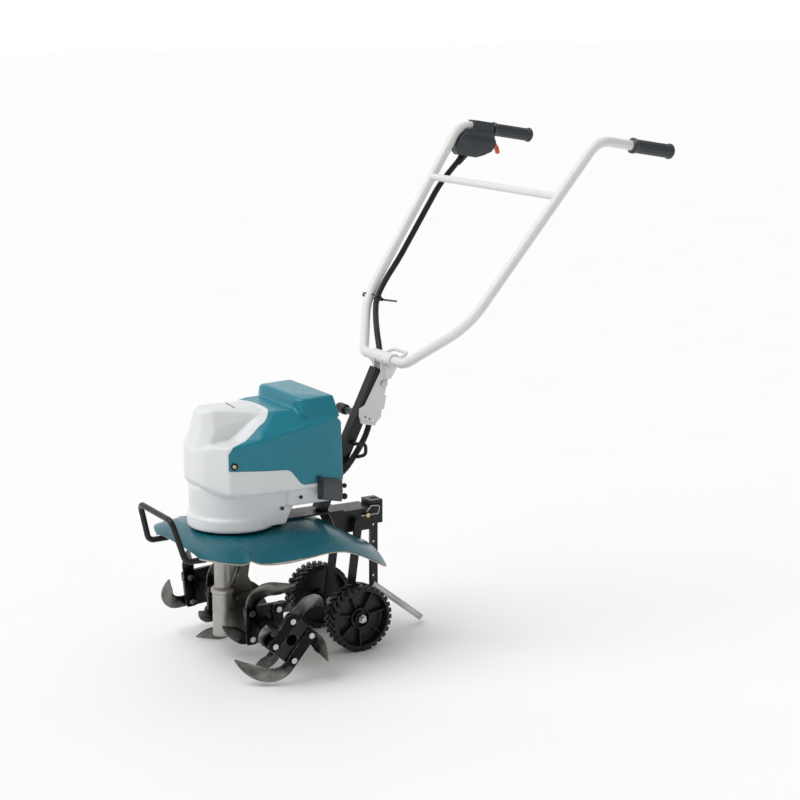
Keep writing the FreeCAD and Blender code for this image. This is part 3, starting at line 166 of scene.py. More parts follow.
def material(name, base, rough, metallic=0.0, mottle=0.06, grain=900.0, bump=0.10, bump_depth=0.00004,
             round_edge=0.0006, wear=None, wear_amount=1.0, dust=0.0, specular=0.5,
             black_hub=False, painted_web_shade=False):
    """A surface with mottled colour, uneven gloss, fine grain, rounded edges and worn edges."""
    made = bpy.data.materials.new(name)
    made.use_nodes = True
    tree = made.node_tree
    shader = tree.nodes["Principled BSDF"]
    place = tree.nodes.new("ShaderNodeTexCoord")
    coords = place.outputs["Object"]
    patches = noise(tree, coords, 22.0, 5.0)
    fine = noise(tree, coords, grain, 3.0)
    darker = tuple(channel * (1 - mottle) for channel in base)
    lighter = tuple(min(1.0, channel * (1 + mottle)) for channel in base)
    colour = mix_colour(tree, spread(tree, patches, 0.3, 0.7, 0.0, 1.0), darker, lighter)
    if dust:
        geometry = tree.nodes.new("ShaderNodeNewGeometry")
        split = tree.nodes.new("ShaderNodeSeparateXYZ")
        link(tree, geometry.outputs["Normal"], split.inputs["Vector"])
        upward = spread(tree, split.outputs["Z"], 0.2, 1.0, 0.0, dust)
        dusty = calculate(tree, "MULTIPLY", upward, spread(tree, patches, 0.35, 0.65, 0.2, 1.0))
        colour = mix_colour(tree, dusty, colour, (0.42, 0.39, 0.34))
    if black_hub:
        colour = mix_colour(tree, shaft_distance(tree, place), (0.012, 0.012, 0.012), colour)
    if painted_web_shade:
        # painted shade: the web behind the leg tube is darkened towards (0.085, 0.080, 0.070)
        colour = mix_colour(tree, web_shade_behind_leg(tree, place), colour, (0.085, 0.080, 0.070))
    roughness = spread(tree, noise(tree, coords, 60.0, 6.0), 0.3, 0.7, rough * 0.82, min(1.0, rough * 1.2))
    if wear:
        chips = spread(tree, noise(tree, coords, 160.0, 6.0), 0.42, 0.62, 0.0, wear_amount)
        worn = calculate(tree, "MULTIPLY", edge_mask(tree, 0.0012), chips)
        colour = mix_colour(tree, worn, colour, wear)
        if metallic < 0.5:
            link(tree, calculate(tree, "MULTIPLY", worn, 0.9), shader.inputs["Metallic"])
    if metallic >= 0.5 or not wear:
        shader.inputs["Metallic"].default_value = metallic
    link(tree, colour, shader.inputs["Base Color"])
    link(tree, roughness, shader.inputs["Roughness"])
    shader.inputs["Specular IOR Level"].default_value = specular
    raised = tree.nodes.new("ShaderNodeBump")
    raised.inputs["Strength"].default_value = bump
    raised.inputs["Distance"].default_value = bump_depth
    link(tree, fine, raised.inputs["Height"])
    if round_edge:
        rounded = tree.nodes.new("ShaderNodeBevel")
        rounded.samples = 6
        rounded.inputs["Radius"].default_value = round_edge
        link(tree, rounded.outputs["Normal"], raised.inputs["Normal"])
    link(tree, raised.outputs["Normal"], shader.inputs["Normal"])
    return made


BARE = (0.55, 0.54, 0.52)
LOOKS = {
    "white_plastic": material("white_plastic", (0.71, 0.725, 0.735), 0.38, mottle=0.012, grain=300, bump=0.02,
                              round_edge=0),
    "teal_plastic": material("teal_plastic", (0.006, 0.195, 0.265), 0.31, mottle=0.03, grain=300, bump=0.0,
                             specular=0.45, round_edge=0),
    "teal_paint": material("teal_paint", (0.002, 0.105, 0.140), 0.29, mottle=0.04, grain=300, bump=0.02,
                           specular=0.4, round_edge=0),
    "under_paint": material("under_paint", (0.42, 0.38, 0.30), 0.45, mottle=0.08, grain=500, round_edge=0),
    "white_paint": material("white_paint", (0.72, 0.72, 0.71), 0.32, mottle=0.012, grain=300, bump=0.02,
                            round_edge=0),
    "black_paint": material("black_paint", (0.007, 0.007, 0.008), 0.34, mottle=0.2, grain=500,
                            wear=BARE, wear_amount=0.10, specular=0.35),
    "black_plastic": material("black_plastic", (0.009, 0.009, 0.010), 0.40, mottle=0.2, grain=1600, bump=0.3,
                              specular=0.4),
    "grey_plastic": material("grey_plastic", (0.052, 0.060, 0.070), 0.33, mottle=0.1, grain=1600, bump=0.3),
    "slate_plastic": material("slate_plastic", (0.026, 0.034, 0.040), 0.38, mottle=0.12, grain=900, bump=0.1),
    "black_rubber": material("black_rubber", (0.010, 0.010, 0.011), 0.50, mottle=0.2, grain=1100, bump=0.4,
                             specular=0.35),
    "orange_plastic": material("orange_plastic", (0.75, 0.085, 0.015), 0.32, mottle=0.05, grain=1500),
    # the cast metal's web behind the leg gets painted shade
    "cast_metal": material("cast_metal", (0.40, 0.39, 0.365), 0.40, metallic=0.9, mottle=0.14, grain=420,
                           bump=0.4, bump_depth=0.0003, wear=(0.78, 0.77, 0.75), wear_amount=0.4, dust=0.02,
                           painted_web_shade=True),
    "tine_steel": material("tine_steel", (0.018, 0.018, 0.018), 0.34, metallic=0.6, mottle=0.3, grain=260,
                           bump=0.3, bump_depth=0.0001, wear=(0.5, 0.49, 0.47), wear_amount=0.6),
    "blade_steel": material("blade_steel", (0.22, 0.215, 0.205), 0.25, metallic=0.95, mottle=0.4, grain=240,
                            bump=0.2, bump_depth=0.0001, wear=(0.8, 0.79, 0.77), wear_amount=1.0,
                            black_hub=True),
    "ground_steel": material("ground_steel", (0.60, 0.59, 0.57), 0.26, metallic=1.0, mottle=0.25, grain=240,
                             bump=0.2, bump_depth=0.0001, black_hub=True),
    "rusty_steel": material("rusty_steel", (0.13, 0.085, 0.050), 0.45, metallic=0.6, mottle=0.5, grain=240,
                            bump=0.4, bump_depth=0.0001),
    "plain_steel": material("plain_steel", (0.42, 0.42, 0.42), 0.34, metallic=1.0, mottle=0.1, grain=600),
    "zinc_steel": material("zinc_steel", (0.50, 0.50, 0.48), 0.25, metallic=1.0, mottle=0.1, grain=500),
    "bare_steel": material("bare_steel", (0.56, 0.55, 0.53), 0.34, metallic=1.0, mottle=0.15, grain=300),
    "brass_metal": material("brass_metal", (0.62, 0.47, 0.26), 0.32, metallic=1.0, mottle=0.12, grain=500),
    # painted shade: near-black colour for the strip that stands in for the shaded groove on the top
    "dark_gap": material("dark_gap", (0.05, 0.012, 0.012), 0.5, mottle=0.1, grain=900),
}


def paint(thing, look):
    thing.data.materials.clear()
    thing.data.materials.append(LOOKS[look])


slot_of = {part["node"]: part["material_slot"] for part in frame["record"]["subparts"]}
OTHER_LOOKS = {"tail_bar": "bare_steel", "housing_screws": "tine_steel"}
for node, thing in NODES.items():
    paint(thing, OTHER_LOOKS.get(node, slot_of[node]))


# ---- making pieces ------------------------------------------------------------------------

def sharp_by_angle(mesh, degrees):
    """Smooth shading, with edges sharper than the angle kept sharp."""
    work = bmesh.new()
    work.from_mesh(mesh)
    limit = math.radians(degrees)
    for edge in work.edges:
        edge.smooth = len(edge.link_faces) == 2 and edge.calc_face_angle(0.0) < limit
    for face in work.faces:
        face.smooth = True
    work.to_mesh(mesh)
    work.free()


def piece(name, work, look, body, replaced=(), angle=35):
    """Turns a bmesh into an object that rides on a CAD body and stands for CAD nodes."""
    mesh = bpy.data.meshes.new(name)
    work.to_mesh(mesh)
    work.free()
    return finish_piece(name, mesh, look, body, replaced, angle)


def finish_piece(name, mesh, look, body, replaced=(), angle=35):
    sharp_by_angle(mesh, angle)
    thing = bpy.data.objects.new(name, mesh)
    bpy.context.collection.objects.link(thing)
    paint(thing, look)
    if body:
        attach(thing, body)
    if replaced:
        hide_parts(*replaced)
    return thing


def baked(thing):
    """The object's mesh with its modifiers applied; the object itself is removed."""
    graph = bpy.context.evaluated_depsgraph_get()
    graph.update()
    mesh = bpy.data.meshes.new_from_object(thing.evaluated_get(graph))
    bpy.data.objects.remove(thing)
    return mesh


def loose(name, mesh):
    thing = bpy.data.objects.new(name, mesh)
    bpy.context.collection.objects.link(thing)
    return thing


def hull(work, points):
    """Adds the convex hull of points, in millimetres, to a bmesh."""
    part = bmesh.new()
    for point in points:
        part.verts.new(at(*point))
    result = bmesh.ops.convex_hull(part, input=part.verts)
    leftover = result["geom_interior"] + result["geom_unused"]
    unused = [item for item in leftover if isinstance(item, bmesh.types.BMVert)]
    bmesh.ops.delete(part, geom=list(set(unused)), context="VERTS")
    bmesh.ops.recalc_face_normals(part, faces=part.faces)
    mesh = bpy.data.meshes.new("part")
    part.to_mesh(mesh)
    part.free()
    work.from_mesh(mesh)
    bpy.data.meshes.remove(mesh)


def both_sides(points):
    return points + [(-x, y, z) for x, y, z in points]


def moulded(name, hulls, voxel, rounds, grow=0.0):
    """Merges hulls into one skin, softens its edges and gives it back as a closed mesh."""
    work = bmesh.new()
    for points in hulls:
        hull(work, points)
    mesh = bpy.data.meshes.new(name)
    work.to_mesh(mesh)
    work.free()
    thing = loose(name, mesh)
    remesh = thing.modifiers.new("remesh", "REMESH")
    remesh.mode = "VOXEL"
    remesh.voxel_size = voxel * MM
    smooth = thing.modifiers.new("smooth", "SMOOTH")
    smooth.factor = 0.5
    smooth.iterations = rounds
    if grow:
        push = thing.modifiers.new("push", "DISPLACE")
        push.mid_level = 0.0
        push.strength = grow * MM
    return baked(thing)


def combined(mesh, other, operation):
    """A closed mesh cut by, joined to, or kept inside another."""
    first = loose("first", mesh)
    second = loose("second", other)
    cut = first.modifiers.new("cut", "BOOLEAN")
    cut.operation = operation
    cut.solver = "MANIFOLD"
    cut.object = second
    result = baked(first)
    bpy.data.objects.remove(second)
    return result


def prism(outline, low, high, axis="X"):
    """A closed prism from a flat outline: (y, z) pairs for axis X, or (x, y) pairs for axis Z."""
    work = bmesh.new()
    rings = []
    for level in (low, high):
        ring = []
        for a, b in outline:
            ring.append(work.verts.new(at(level, a, b) if axis == "X" else at(a, b, level)))
        rings.append(ring)
    work.faces.new(rings[0])
    work.faces.new(rings[1])
    count = len(outline)
    for index in range(count):
        after = (index + 1) % count
        work.faces.new((rings[0][index], rings[0][after], rings[1][after], rings[1][index]))
    bmesh.ops.recalc_face_normals(work, faces=work.faces)
    mesh = bpy.data.meshes.new("prism")
    work.to_mesh(mesh)
    work.free()
    return mesh


def rounded_outline(points, radius, steps=5):
    """The outline with each corner replaced by an arc of about the given radius."""
    result = []
    count = len(points)
    for index in range(count):
        corner = Vector(points[index])
        before = Vector(points[index - 1]) - corner
        after = Vector(points[(index + 1) % count]) - corner
        reach = min(radius, before.length * 0.45, after.length * 0.45)
        start = corner + before.normalized() * reach
        end = corner + after.normalized() * reach
        for step in range(steps + 1):
            t = step / steps
            spot = start * (1 - t) ** 2 + corner * 2 * t * (1 - t) + end * t * t
            result.append((spot.x, spot.y))
    return result


def lathe(profile, segments=48):
    """A closed turned bmesh about local Z: profile holds (radius, height) pairs in millimetres."""
    work = bmesh.new()
    rings = []
    for radius, height in profile:
        if radius <= 0:
            rings.append([work.verts.new((0, 0, height * MM))])
            continue
        rings.append([work.verts.new((radius * MM * math.cos(2 * math.pi * k / segments),
                                      radius * MM * math.sin(2 * math.pi * k / segments), height * MM))
                      for k in range(segments)])
    for low, high in zip(rings, rings[1:]):
        for k in range(segments):
            after = (k + 1) % segments
            corners = [low[k % len(low)], low[after % len(low)], high[after % len(high)], high[k % len(high)]]
            unique = list(dict.fromkeys(corners))
            if len(unique) > 2:
                work.faces.new(unique)
    bmesh.ops.recalc_face_normals(work, faces=work.faces)
    return work


def turn_to(direction):
    return Vector(direction).to_track_quat("Z", "Y").to_matrix().to_4x4()


# ---- housing and its lift-off cover ----------------------------------------------------------

def ring(radius, y, low, high, chamfer=0.0):
    """Points of a round drum about a vertical line."""
    points = []
    for step in range(40):
        angle = 2 * math.pi * step / 40
        for z, r in ((low, radius - chamfer), (low + chamfer, radius), (high, radius)):
            points.append((r * math.cos(angle), y + r * math.sin(angle), z))
    return points


def housing_hulls(inset):
    """The housing's outside as overlapping convex blocks, moved inward by inset."""
    i = inset
    lower = both_sides([
        (28 - i, -121 + i, 412), (52 - i, -115 + i, 408), (46 - i, -98 + i, 384 + i), (71 - i, -103 + i, 402),
        (64 - i, -90 + i, 384 + i),
        (103 - i, -78 + i, 396), (100 - i, -66 + i, 388 + i), (116 - i, -10, 392 + i), (121 - i, 80, 392 + i),
        (120 - i, 160, 392 + i), (114 - i, 189 - i, 396 + i),
        (28 - i, -120 + i, 482 - i), (52 - i, -114 + i, 486 - i), (70 - i, -102 + i, 496 - i),
        (102 - i, -80 + i, 495 - i),
        (115 - i, -10, 510 - i), (120 - i, 80, 527 - i), (119 - i, 160, 542 - i),
        (112 - i, 185 - i, 530 - i)])
    top = both_sides([
        (52 - i, -66 + i, 497), (92 - i, -60 + i, 497 - i), (114 - i, -10, 509 - i), (118 - i, 80, 526 - i),
        (118 - i, 158, 541 - i), (111 - i, 183 - i, 528), (66 - i, 12, 557 - i), (80 - i, 44, 561 - i),
        (90 - i, 160, 563 - i), (88 - i, 178 - i, 552 - i), (50 - i, -60 + i, 400), (100 - i, 150, 420)])
    nose = both_sides([
        (28 - i, -117 + i, 484), (54 - i, -104 + i, 486), (47 - i, -20, 480), (20 - i, -103 + i, 562 - i),
        (35 - i, -86 + i, 566.5 - i), (28 - i, -111 + i, 514), (45 - i, -98 + i, 514),
        (27 - i, 20, 566.5 - i),
        (53 - i, -97 + i, 496), (51 - i, -87 + i, 530), (55 - i, -12, 528),
        (70 - i, 22, 556 - i)])
    hump = both_sides([
        (106 - i, 92 + i, 552), (109 - i, 100 + i, 548), (111 - i, 183 - i, 540), (99 - i, 98 + i, 584 - i),
        (104 - i, 108 + i, 580 - i), (100 - i, 172 - i, 586 - i), (60, 91 + i, 588.5 - i), (60, 84 + i, 556),
        (90 - i, 88 + i, 582 - i)])
    tail = both_sides([
        (103 - i, 56 + i, 353 + i), (106 - i, 178 - i, 353 + i), (117 - i, 56 + i, 410),
        (116 - i, 187 - i, 410)])
    back = both_sides([
        (94 - i, -25, 312 + i), (90 - i, 60 - i, 312 + i), (97 - i, -25, 400), (103 - i, 92 - i, 400)])
    skirt = ring(93 - i, -26, 326, 398)
    foot = ring(98 - i, -26, 305.5 + i, 334, 3.0)
    return [lower, top, nose, hump, tail, back, skirt, foot]


def region_outline(gap):
    side = [(-86 + gap, 447 + gap), (56 - gap, 438 + gap), (84 - gap, 401 + gap), (230, 401 + gap),
            (230, 650), (-20, 650), (-32 + gap, 521 + gap), (-62 + gap, 508 + gap), (-86 + gap, 476 - gap)]
    return rounded_outline(side, 11)


def cover_region(gap):
    """The space that belongs to the cover: its side outline, less the white tongue on top."""
    side = prism(region_outline(gap), -160, 160)
    half, reach = 88 + gap, 42 + gap
    flare = [(101, -170), (101 + gap, -66), (97 + gap, -40), (93 + gap, -20), (90 + gap, -8)]
    arc = []
    for step in range(0, 181, 6):
        angle = math.radians(step)
        side_sign = 1 if step <= 90 else -1
        arc.append((half * abs(math.cos(angle)) ** 0.8 * side_sign, reach * math.sin(angle) ** 0.8))
    tongue = flare + arc + [(-x, y) for x, y in reversed(flare)]
    return combined(side, prism(tongue, 360, 660, "Z"), "DIFFERENCE")


VOXEL = 2.2
WALL = 3.0
HUMP = 3


def make_housing():
    outside = moulded("outside", housing_hulls(0.0), VOXEL, 15, 0.5)
    hollows = housing_hulls(WALL)
    del hollows[HUMP]
    inside = moulded("inside", hollows, VOXEL * 1.6, 3)
    shell = combined(outside, inside, "DIFFERENCE")
    open_foot = prism([(86 * math.cos(math.radians(k)), -26 + 86 * math.sin(math.radians(k)))
                       for k in range(0, 360, 8)], 300, 320, "Z")
    shell = combined(shell, open_foot, "DIFFERENCE")
    cover = combined(shell.copy(), cover_region(0.7), "INTERSECT")
    lower = combined(shell, cover_region(0.0), "DIFFERENCE")
    finish_piece("housing_shell", lower, "white_plastic", "chassis", ["lower_housing"], 50)
    finish_piece("cover_shell", cover, "teal_plastic", "cover", ["top_cover"], 50)


def place_lathe(name, profile, place, direction, look, body, replaced=(), segments=48, angle=35):
    """A turned piece: its local Z points along direction from place, in millimetres."""
    work = lathe(profile, segments)
    work.transform(Matrix.Translation(at(*place)) @ turn_to(direction))
    return piece(name, work, look, body, replaced, angle)


# ---- fender -----------------------------------------------------------------------------------

FENDER = [
    # along Y, half width, height in the middle, height at the rim
    (-157, 108, 276, 270), (-150, 140, 282, 273), (-138, 168, 289, 274.5), (-112, 187, 299, 272),
    (-94, 191.5, 301, 269), (-82, 193, 301.6, 271), (-74, 193.8, 301.8, 275), (-66, 194.2, 301.8, 270.5),
    (-50, 194.8, 301.8, 264.5), (-20, 195, 301.8, 260), (20, 195, 301.8, 259), (75, 195, 301.8, 263.5),
    (110, 194, 301.8, 266), (150, 192, 299, 262),
    (190, 188.5, 284, 247), (225, 184, 264, 229), (252, 175, 248, 213), (270, 160, 240, 204),
]


def smooth_row(rows, y):
    """Reads the table at y with a curve through its rows."""
    place = 0
    while place < len(rows) - 2 and rows[place + 1][0] < y:
        place += 1
    before = rows[max(0, place - 1)]
    low = rows[place]
    high = rows[place + 1]
    after = rows[min(len(rows) - 1, place + 2)]
    t = (y - low[0]) / (high[0] - low[0])
    values = []
    for k in range(1, len(low)):
        slope_low = (high[k] - before[k]) / max(1e-6, high[0] - before[0]) * (high[0] - low[0])
        slope_high = (after[k] - low[k]) / max(1e-6, after[0] - low[0]) * (high[0] - low[0])
        values.append((2 * t ** 3 - 3 * t ** 2 + 1) * low[k] + (t ** 3 - 2 * t ** 2 + t) * slope_low
                      + (3 * t ** 2 - 2 * t ** 3) * high[k] + (t ** 3 - t ** 2) * slope_high)
    return values


def fender_height(middle_z, rim_z, share):
    """High in the middle, then over a soft shoulder down to the rim, with the lip nearly level."""
    fall = middle_z - rim_z
    shoulder = 0.30 * share ** 2 + 0.70 * share ** 5
    lip = max(0.0, share - 0.955) / 0.045
    return middle_z - fall * (shoulder - 0.05 * lip ** 2)


def make_fender():
    work = bmesh.new()
    rows = []
    across = 40
    along = 110
    for step in range(along + 1):
        y = -157 + 427 * step / along
        half, middle_z, rim_z = smooth_row(FENDER, y)
        row = []
        for k in range(across + 1):
            share = (2 * k / across - 1)
            z = fender_height(middle_z, rim_z, abs(share))
            row.append(work.verts.new(at(half * share, y, z - 0.2)))
        rows.append(row)
    for low, high in zip(rows, rows[1:]):
        for k in range(across):
            work.faces.new((low[k], low[k + 1], high[k + 1], high[k]))
    for face in work.faces:
        face.smooth = True
    bmesh.ops.recalc_face_normals(work, faces=work.faces)
    if work.faces[0].normal.z < 0:
        bmesh.ops.reverse_faces(work, faces=work.faces)
    mesh = bpy.data.meshes.new("fender")
    work.to_mesh(mesh)
    work.free()
    thing = loose("fender", mesh)
    thicken = thing.modifiers.new("thicken", "SOLIDIFY")
    thicken.thickness = 1.8 * MM
    thicken.offset = -1.0
    thicken.use_even_offset = True
    mesh = baked(thing)
    hole = prism([(38.5 * math.cos(math.radians(k)), -52 + 38.5 * math.sin(math.radians(k)))
                  for k in range(0, 360, 8)], 280, 320, "Z")
    mesh = combined(mesh, hole, "DIFFERENCE")
    notch = rounded_outline([(-56, 192), (56, 192), (56, 300), (-56, 300)], 12)
    mesh = combined(mesh, prism(notch, 180, 320, "Z"), "DIFFERENCE")
    sheet = finish_piece("fender_sheet", mesh, "teal_paint", "chassis", ["fender"], 50)
    sheet.data.materials.append(LOOKS["under_paint"])
    for polygon in sheet.data.polygons:
        if polygon.normal.z < -0.5:
            polygon.material_index = 1
    make_fender_hem()


def make_fender_hem():
    """The edge along both rims of the fender, where the pale undercoat shows; the pale line is partly a
    painted highlight along the rim.
    """
    for name, sign in (("left", 1), ("right", -1)):
        curve = bpy.data.curves.new(name + "_hem", "CURVE")
        curve.dimensions = "3D"
        curve.bevel_depth = 1.5 * MM
        curve.bevel_resolution = 3
        spline = curve.splines.new("POLY")
        count = 90
        spline.points.add(count)
        for step in range(count + 1):
            y = -156 + 425 * step / count
            half, _, rim_z = smooth_row(FENDER, y)
            # partly painted highlight: the pale line, set just under the rim, also stands in for the light
            # along it
            spot = at(sign * (half - 1.9), y, rim_z - 1.9)
            spline.points[step].co = (*spot, 1.0)
        thing = bpy.data.objects.new(name + "_fender_hem", curve)
        bpy.context.collection.objects.link(thing)
        mesh = baked(thing)
        finish_piece(name + "_fender_hem", mesh, "under_paint", "chassis", (), 60)


# ---- tines ------------------------------------------------------------------------------------

TINE_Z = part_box("tine_shaft")[0].z * 1000 / 2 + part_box("tine_shaft")[1].z * 1000 / 2
BOLT_Y = 32.0
BOLT_Z = 29.0


def turned(y, z, degrees):
    angle = math.radians(degrees)
    return (y * math.cos(angle) - z * math.sin(angle), y * math.sin(angle) + z * math.cos(angle))


def add_blade(work, face_x, bolt_a, bolt_b, run, radius, turn, tail, sideways, side):
    """One sickle blade: a flat shank on two bolts, then a sweep that narrows to a point."""
    shank_half = 13.0
    wide_half = 15.0
    thick = 4.6
    heading = math.atan2(bolt_b[1] - bolt_a[1], bolt_b[0] - bolt_a[0])
    course = (math.cos(heading), math.sin(heading))
    path = [(bolt_a[0] - 13 * course[0], bolt_a[1] - 13 * course[1], heading, 0.0, 0.72),
            (bolt_a[0] - 9 * course[0], bolt_a[1] - 9 * course[1], heading, 0.0, 1.0)]
    here = [bolt_b[0] + run * course[0], bolt_b[1] + run * course[1]]
    path.append((here[0], here[1], heading, 0.0, 1.0))
    steps = 26
    travelled = 0.0
    for _ in range(steps):
        part = math.radians(turn) / steps
        chord = 2 * radius * math.sin(part / 2)
        here[0] += chord * math.cos(heading - part / 2)
        here[1] += chord * math.sin(heading - part / 2)
        heading -= part
        travelled += radius * part
        path.append((here[0], here[1], heading, travelled, 1.0))
    for _ in range(6 if tail else 0):
        here[0] += tail / 6 * math.cos(heading)
        here[1] += tail / 6 * math.sin(heading)
        travelled += tail / 6
        path.append((here[0], here[1], heading, travelled, 1.0))
    total = travelled
    rings = []
    for y, z, way, done, shrink in path:
        share = done / total
        lean = sideways * share ** 1.6
        slope = math.atan(1.6 * sideways / total * share ** 0.6)
        left = (-math.sin(way), math.cos(way))
        normal = (math.cos(slope), -math.sin(slope) * math.cos(way), -math.sin(slope) * math.sin(way))
        wide = (shank_half + (wide_half - shank_half) * min(1.0, share * 4)) * shrink
        late = max(0.0, share - 0.55) / 0.45
        inner = wide * (1.0 - 1.72 * late ** 2.4)
        grind = 0.5 - 0.34 * min(1.0, share * 3.0)
        slim = 1.0 - 0.5 * max(0.0, share - 0.6) / 0.4
        cut = min(5.0, (wide + inner) * 0.3)
        ring_points = []
        for place, half in ((-inner, grind), (-inner + cut, 0.5), (wide - 2.0 * cut / 5, 0.5), (wide, 0.3)):
            ring_points.append((place, half * thick * slim))
        corners = [(a, h) for a, h in ring_points] + [(a, -h) for a, h in reversed(ring_points)]
        rings.append([work.verts.new(at(side * (face_x + lean + through * normal[0]),
                                        y + a * left[0] + through * normal[1],
                                        TINE_Z + z + a * left[1] + through * normal[2]))
                      for a, through in corners])
    count = len(rings[0])
    made = [work.faces.new(rings[0]), work.faces.new(rings[-1])]
    for place, (low, high) in enumerate(zip(rings, rings[1:])):
        for k in range(count):
            after = (k + 1) % count
            face = work.faces.new((low[k], low[after], high[after], high[k]))
            face.material_index = 1 if k in (0, 6, 7) and place > 4 else 0
            made.append(face)
    return made


FLANGE_ROWS = [("left_outer", 1, 226.0, 49.0), ("left_inner", 1, 95.0, 0.0),
               ("right_inner", -1, 95.0, 0.0), ("right_outer", -1, 226.0, 4.0)]


def make_blades():
    offset = 5.1
    for name, side, place_x, turn in FLANGE_ROWS:
        work = bmesh.new()
        for half_turn in (0.0, 180.0):
            a, b, c = [turned(y, z, turn + half_turn) for y, z in (
                (BOLT_Y, -BOLT_Z), (-BOLT_Y, -BOLT_Z), (BOLT_Y, BOLT_Z))]
            if name.endswith("outer"):
                add_blade(work, place_x + offset, a, b, 18, 48, 122, 0, -62, side)
                short = add_blade(work, place_x - offset, c, a, 14, 32, 80, 0, 34, side)
                for face in short:
                    face.material_index = 2 if face.material_index == 0 else 1
            else:
                add_blade(work, place_x + offset, c, a, 12, 41, 96, 40, 42, side)
                add_blade(work, place_x - offset, a, b, 4, 34, 80, 0, -30, side)
        bmesh.ops.recalc_face_normals(work, faces=work.faces)
        thing = piece(name + "_sickles", work, "blade_steel", "tines", [name + "_blades"], 28)
        thing.data.materials.append(LOOKS["ground_steel"])
        thing.data.materials.append(LOOKS["rusty_steel"])


# ---- wheels -----------------------------------------------------------------------------------

WHEEL_R = 75.0


def add_lug(work, angle, low_h, high_h, wide, lean, low_r, high_r):
    """One tread block: a tapered box on the tyre; its far end leans round by lean degrees."""
    spots = []
    for r, share in ((low_r, 1.0), (high_r, 0.78)):
        for h, shift in ((low_h, 0.0), (high_h, lean)):
            middle_h = (low_h + high_h) / 2
            for side in (-1, 1):
                a = math.radians(angle + shift + side * wide / 2 * share)
                height = middle_h + (h - middle_h) * (0.92 if r == high_r else 1.0)
                spots.append(work.verts.new((r * MM * math.cos(a), r * MM * math.sin(a), height * MM)))
    for face in ((0, 1, 3, 2), (4, 6, 7, 5), (0, 4, 5, 1), (2, 3, 7, 6), (0, 2, 6, 4), (1, 5, 7, 3)):
        work.faces.new([spots[k] for k in face])


def make_wheel(name, sign):
    profile = [(6.3, 15), (12.6, 15), (14, 13.6), (14.4, 4), (20, 4), (20.4, 13), (21.4, 14), (23, 14),
               (24, 13),
               (24.6, 1), (26, 0), (57, 0), (60, 2), (62, 18), (62.4, 22), (63.4, 23), (67, 23), (69.4, 21.4),
               (70.6, 17), (71, 0), (70.6, -17), (69.4, -21.4), (67, -23), (63, -23), (61, -4),
                (14, -4), (14, -14),
               (6.3, -14), (6.3, 15)]
    work = lathe(profile, 84)
    bmesh.ops.remove_doubles(work, verts=work.verts, dist=1e-6)
    count = 30
    for k in range(count):
        step = 360 / count
        add_lug(work, k * step, 2.0, 12.0, step * 0.66, step * 0.4, 70.0, WHEEL_R)
        add_lug(work, (k + 0.45) * step, 11.0, 21.6, step * 0.66, step * 0.3, 69.5, WHEEL_R - 0.4)
        add_lug(work, (k + 0.5) * step, -12.0, -2.0, step * 0.66, -step * 0.4, 70.0, WHEEL_R)
        add_lug(work, (k + 0.95) * step, -21.6, -11.0, step * 0.66, -step * 0.3, 69.5, WHEEL_R - 0.4)
        add_lug(work, (k + 0.6) * step, 18.0, 22.8, step * 0.55, 0.0, 66.5, 73.4)
        add_lug(work, (k + 0.95) * step, -22.8, -18.0, step * 0.55, 0.0, 66.5, 73.4)
    for k in range(7):
        angle = 2 * math.pi * k / 7 + 0.2
        along = Vector((math.cos(angle), math.sin(angle), 0))
        across = Vector((-math.sin(angle), math.cos(angle), 0)) * 1.4
        spots = []
        for r, top in ((23.5, 10), (62.3, 15)):
            for shift, height in ((-1, -1), (1, -1), (1, top), (-1, top)):
                spots.append(work.verts.new((along * r + across * shift + Vector((0, 0, height))) * MM))
        for face in ((0, 3, 2, 1), (4, 5, 6, 7), (0, 1, 5, 4), (1, 2, 6, 5), (2, 3, 7, 6), (3, 0, 4, 7)):
            work.faces.new([spots[i] for i in face])
    bmesh.ops.recalc_face_normals(work, faces=work.faces)
    work.transform(Matrix.Translation(at(sign * 96, 233, 75)) @ turn_to((sign, 0, 0)))
    piece(name + "_wheel_tread", work, "black_plastic", name + "_wheel_body", [name + "_wheel"], 32)


# ---- handlebar details ------------------------------------------------------------------------

def make_grip(name, sign):
    """A rubber grip with a flange at each end and twelve lengthwise grooves between them."""
    bend = Vector((sign * 283.0, 729.0, 1124.0))
    end = Vector((sign * 280.0, 932.0, 1090.0))
    way = (end - bend).normalized()
    profile = [(0, 0), (9, -0.3), (13.6, -2), (17, -5.5), (17.5, -9), (16.8, -12), (15, -14)]
    profile += [(15.4, -16 - 5.0 * k) for k in range(18)]
    profile += [(15, -104), (17.3, -107), (17.4, -112.8), (16.2, -114.2), (11.2, -115.8), (11.1, -60),
                (0, -59)]
    work = lathe(profile, 120)
    for vertex in work.verts:
        height = vertex.co.z / MM
        if -103 < height < -15 and vertex.co.xy.length > 0.013:
            turn = math.atan2(vertex.co.y, vertex.co.x)
            groove = max(0.0, math.cos(12 * turn)) ** 2 * min(1.0, (-15 - height) / 6, (height + 103) / 6)
            vertex.co.xy *= 1.0 - 0.085 * groove
    work.transform(Matrix.Translation(at(*end)) @ turn_to(way))
    piece(name + "_grip_skin", work, "slate_plastic", "handle", [name + "_grip"], 40)


SWITCH_SLOPE = math.radians(-9.508)
SWITCH_PLACE = (-282.24, 780.3, 1115.4)


def on_switch(x, y, z):
    """A point given from the switch box's middle, turned with the tube."""
    return (SWITCH_PLACE[0] + x,
            SWITCH_PLACE[1] + y * math.cos(SWITCH_SLOPE) - z * math.sin(SWITCH_SLOPE),
            SWITCH_PLACE[2] + y * math.sin(SWITCH_SLOPE) + z * math.cos(SWITCH_SLOPE))


def block_points(x0, x1, y0, y1, z0, z1):
    return [(x, y, z) for x in (x0, x1) for y in (y0, y1) for z in (z0, z1)]


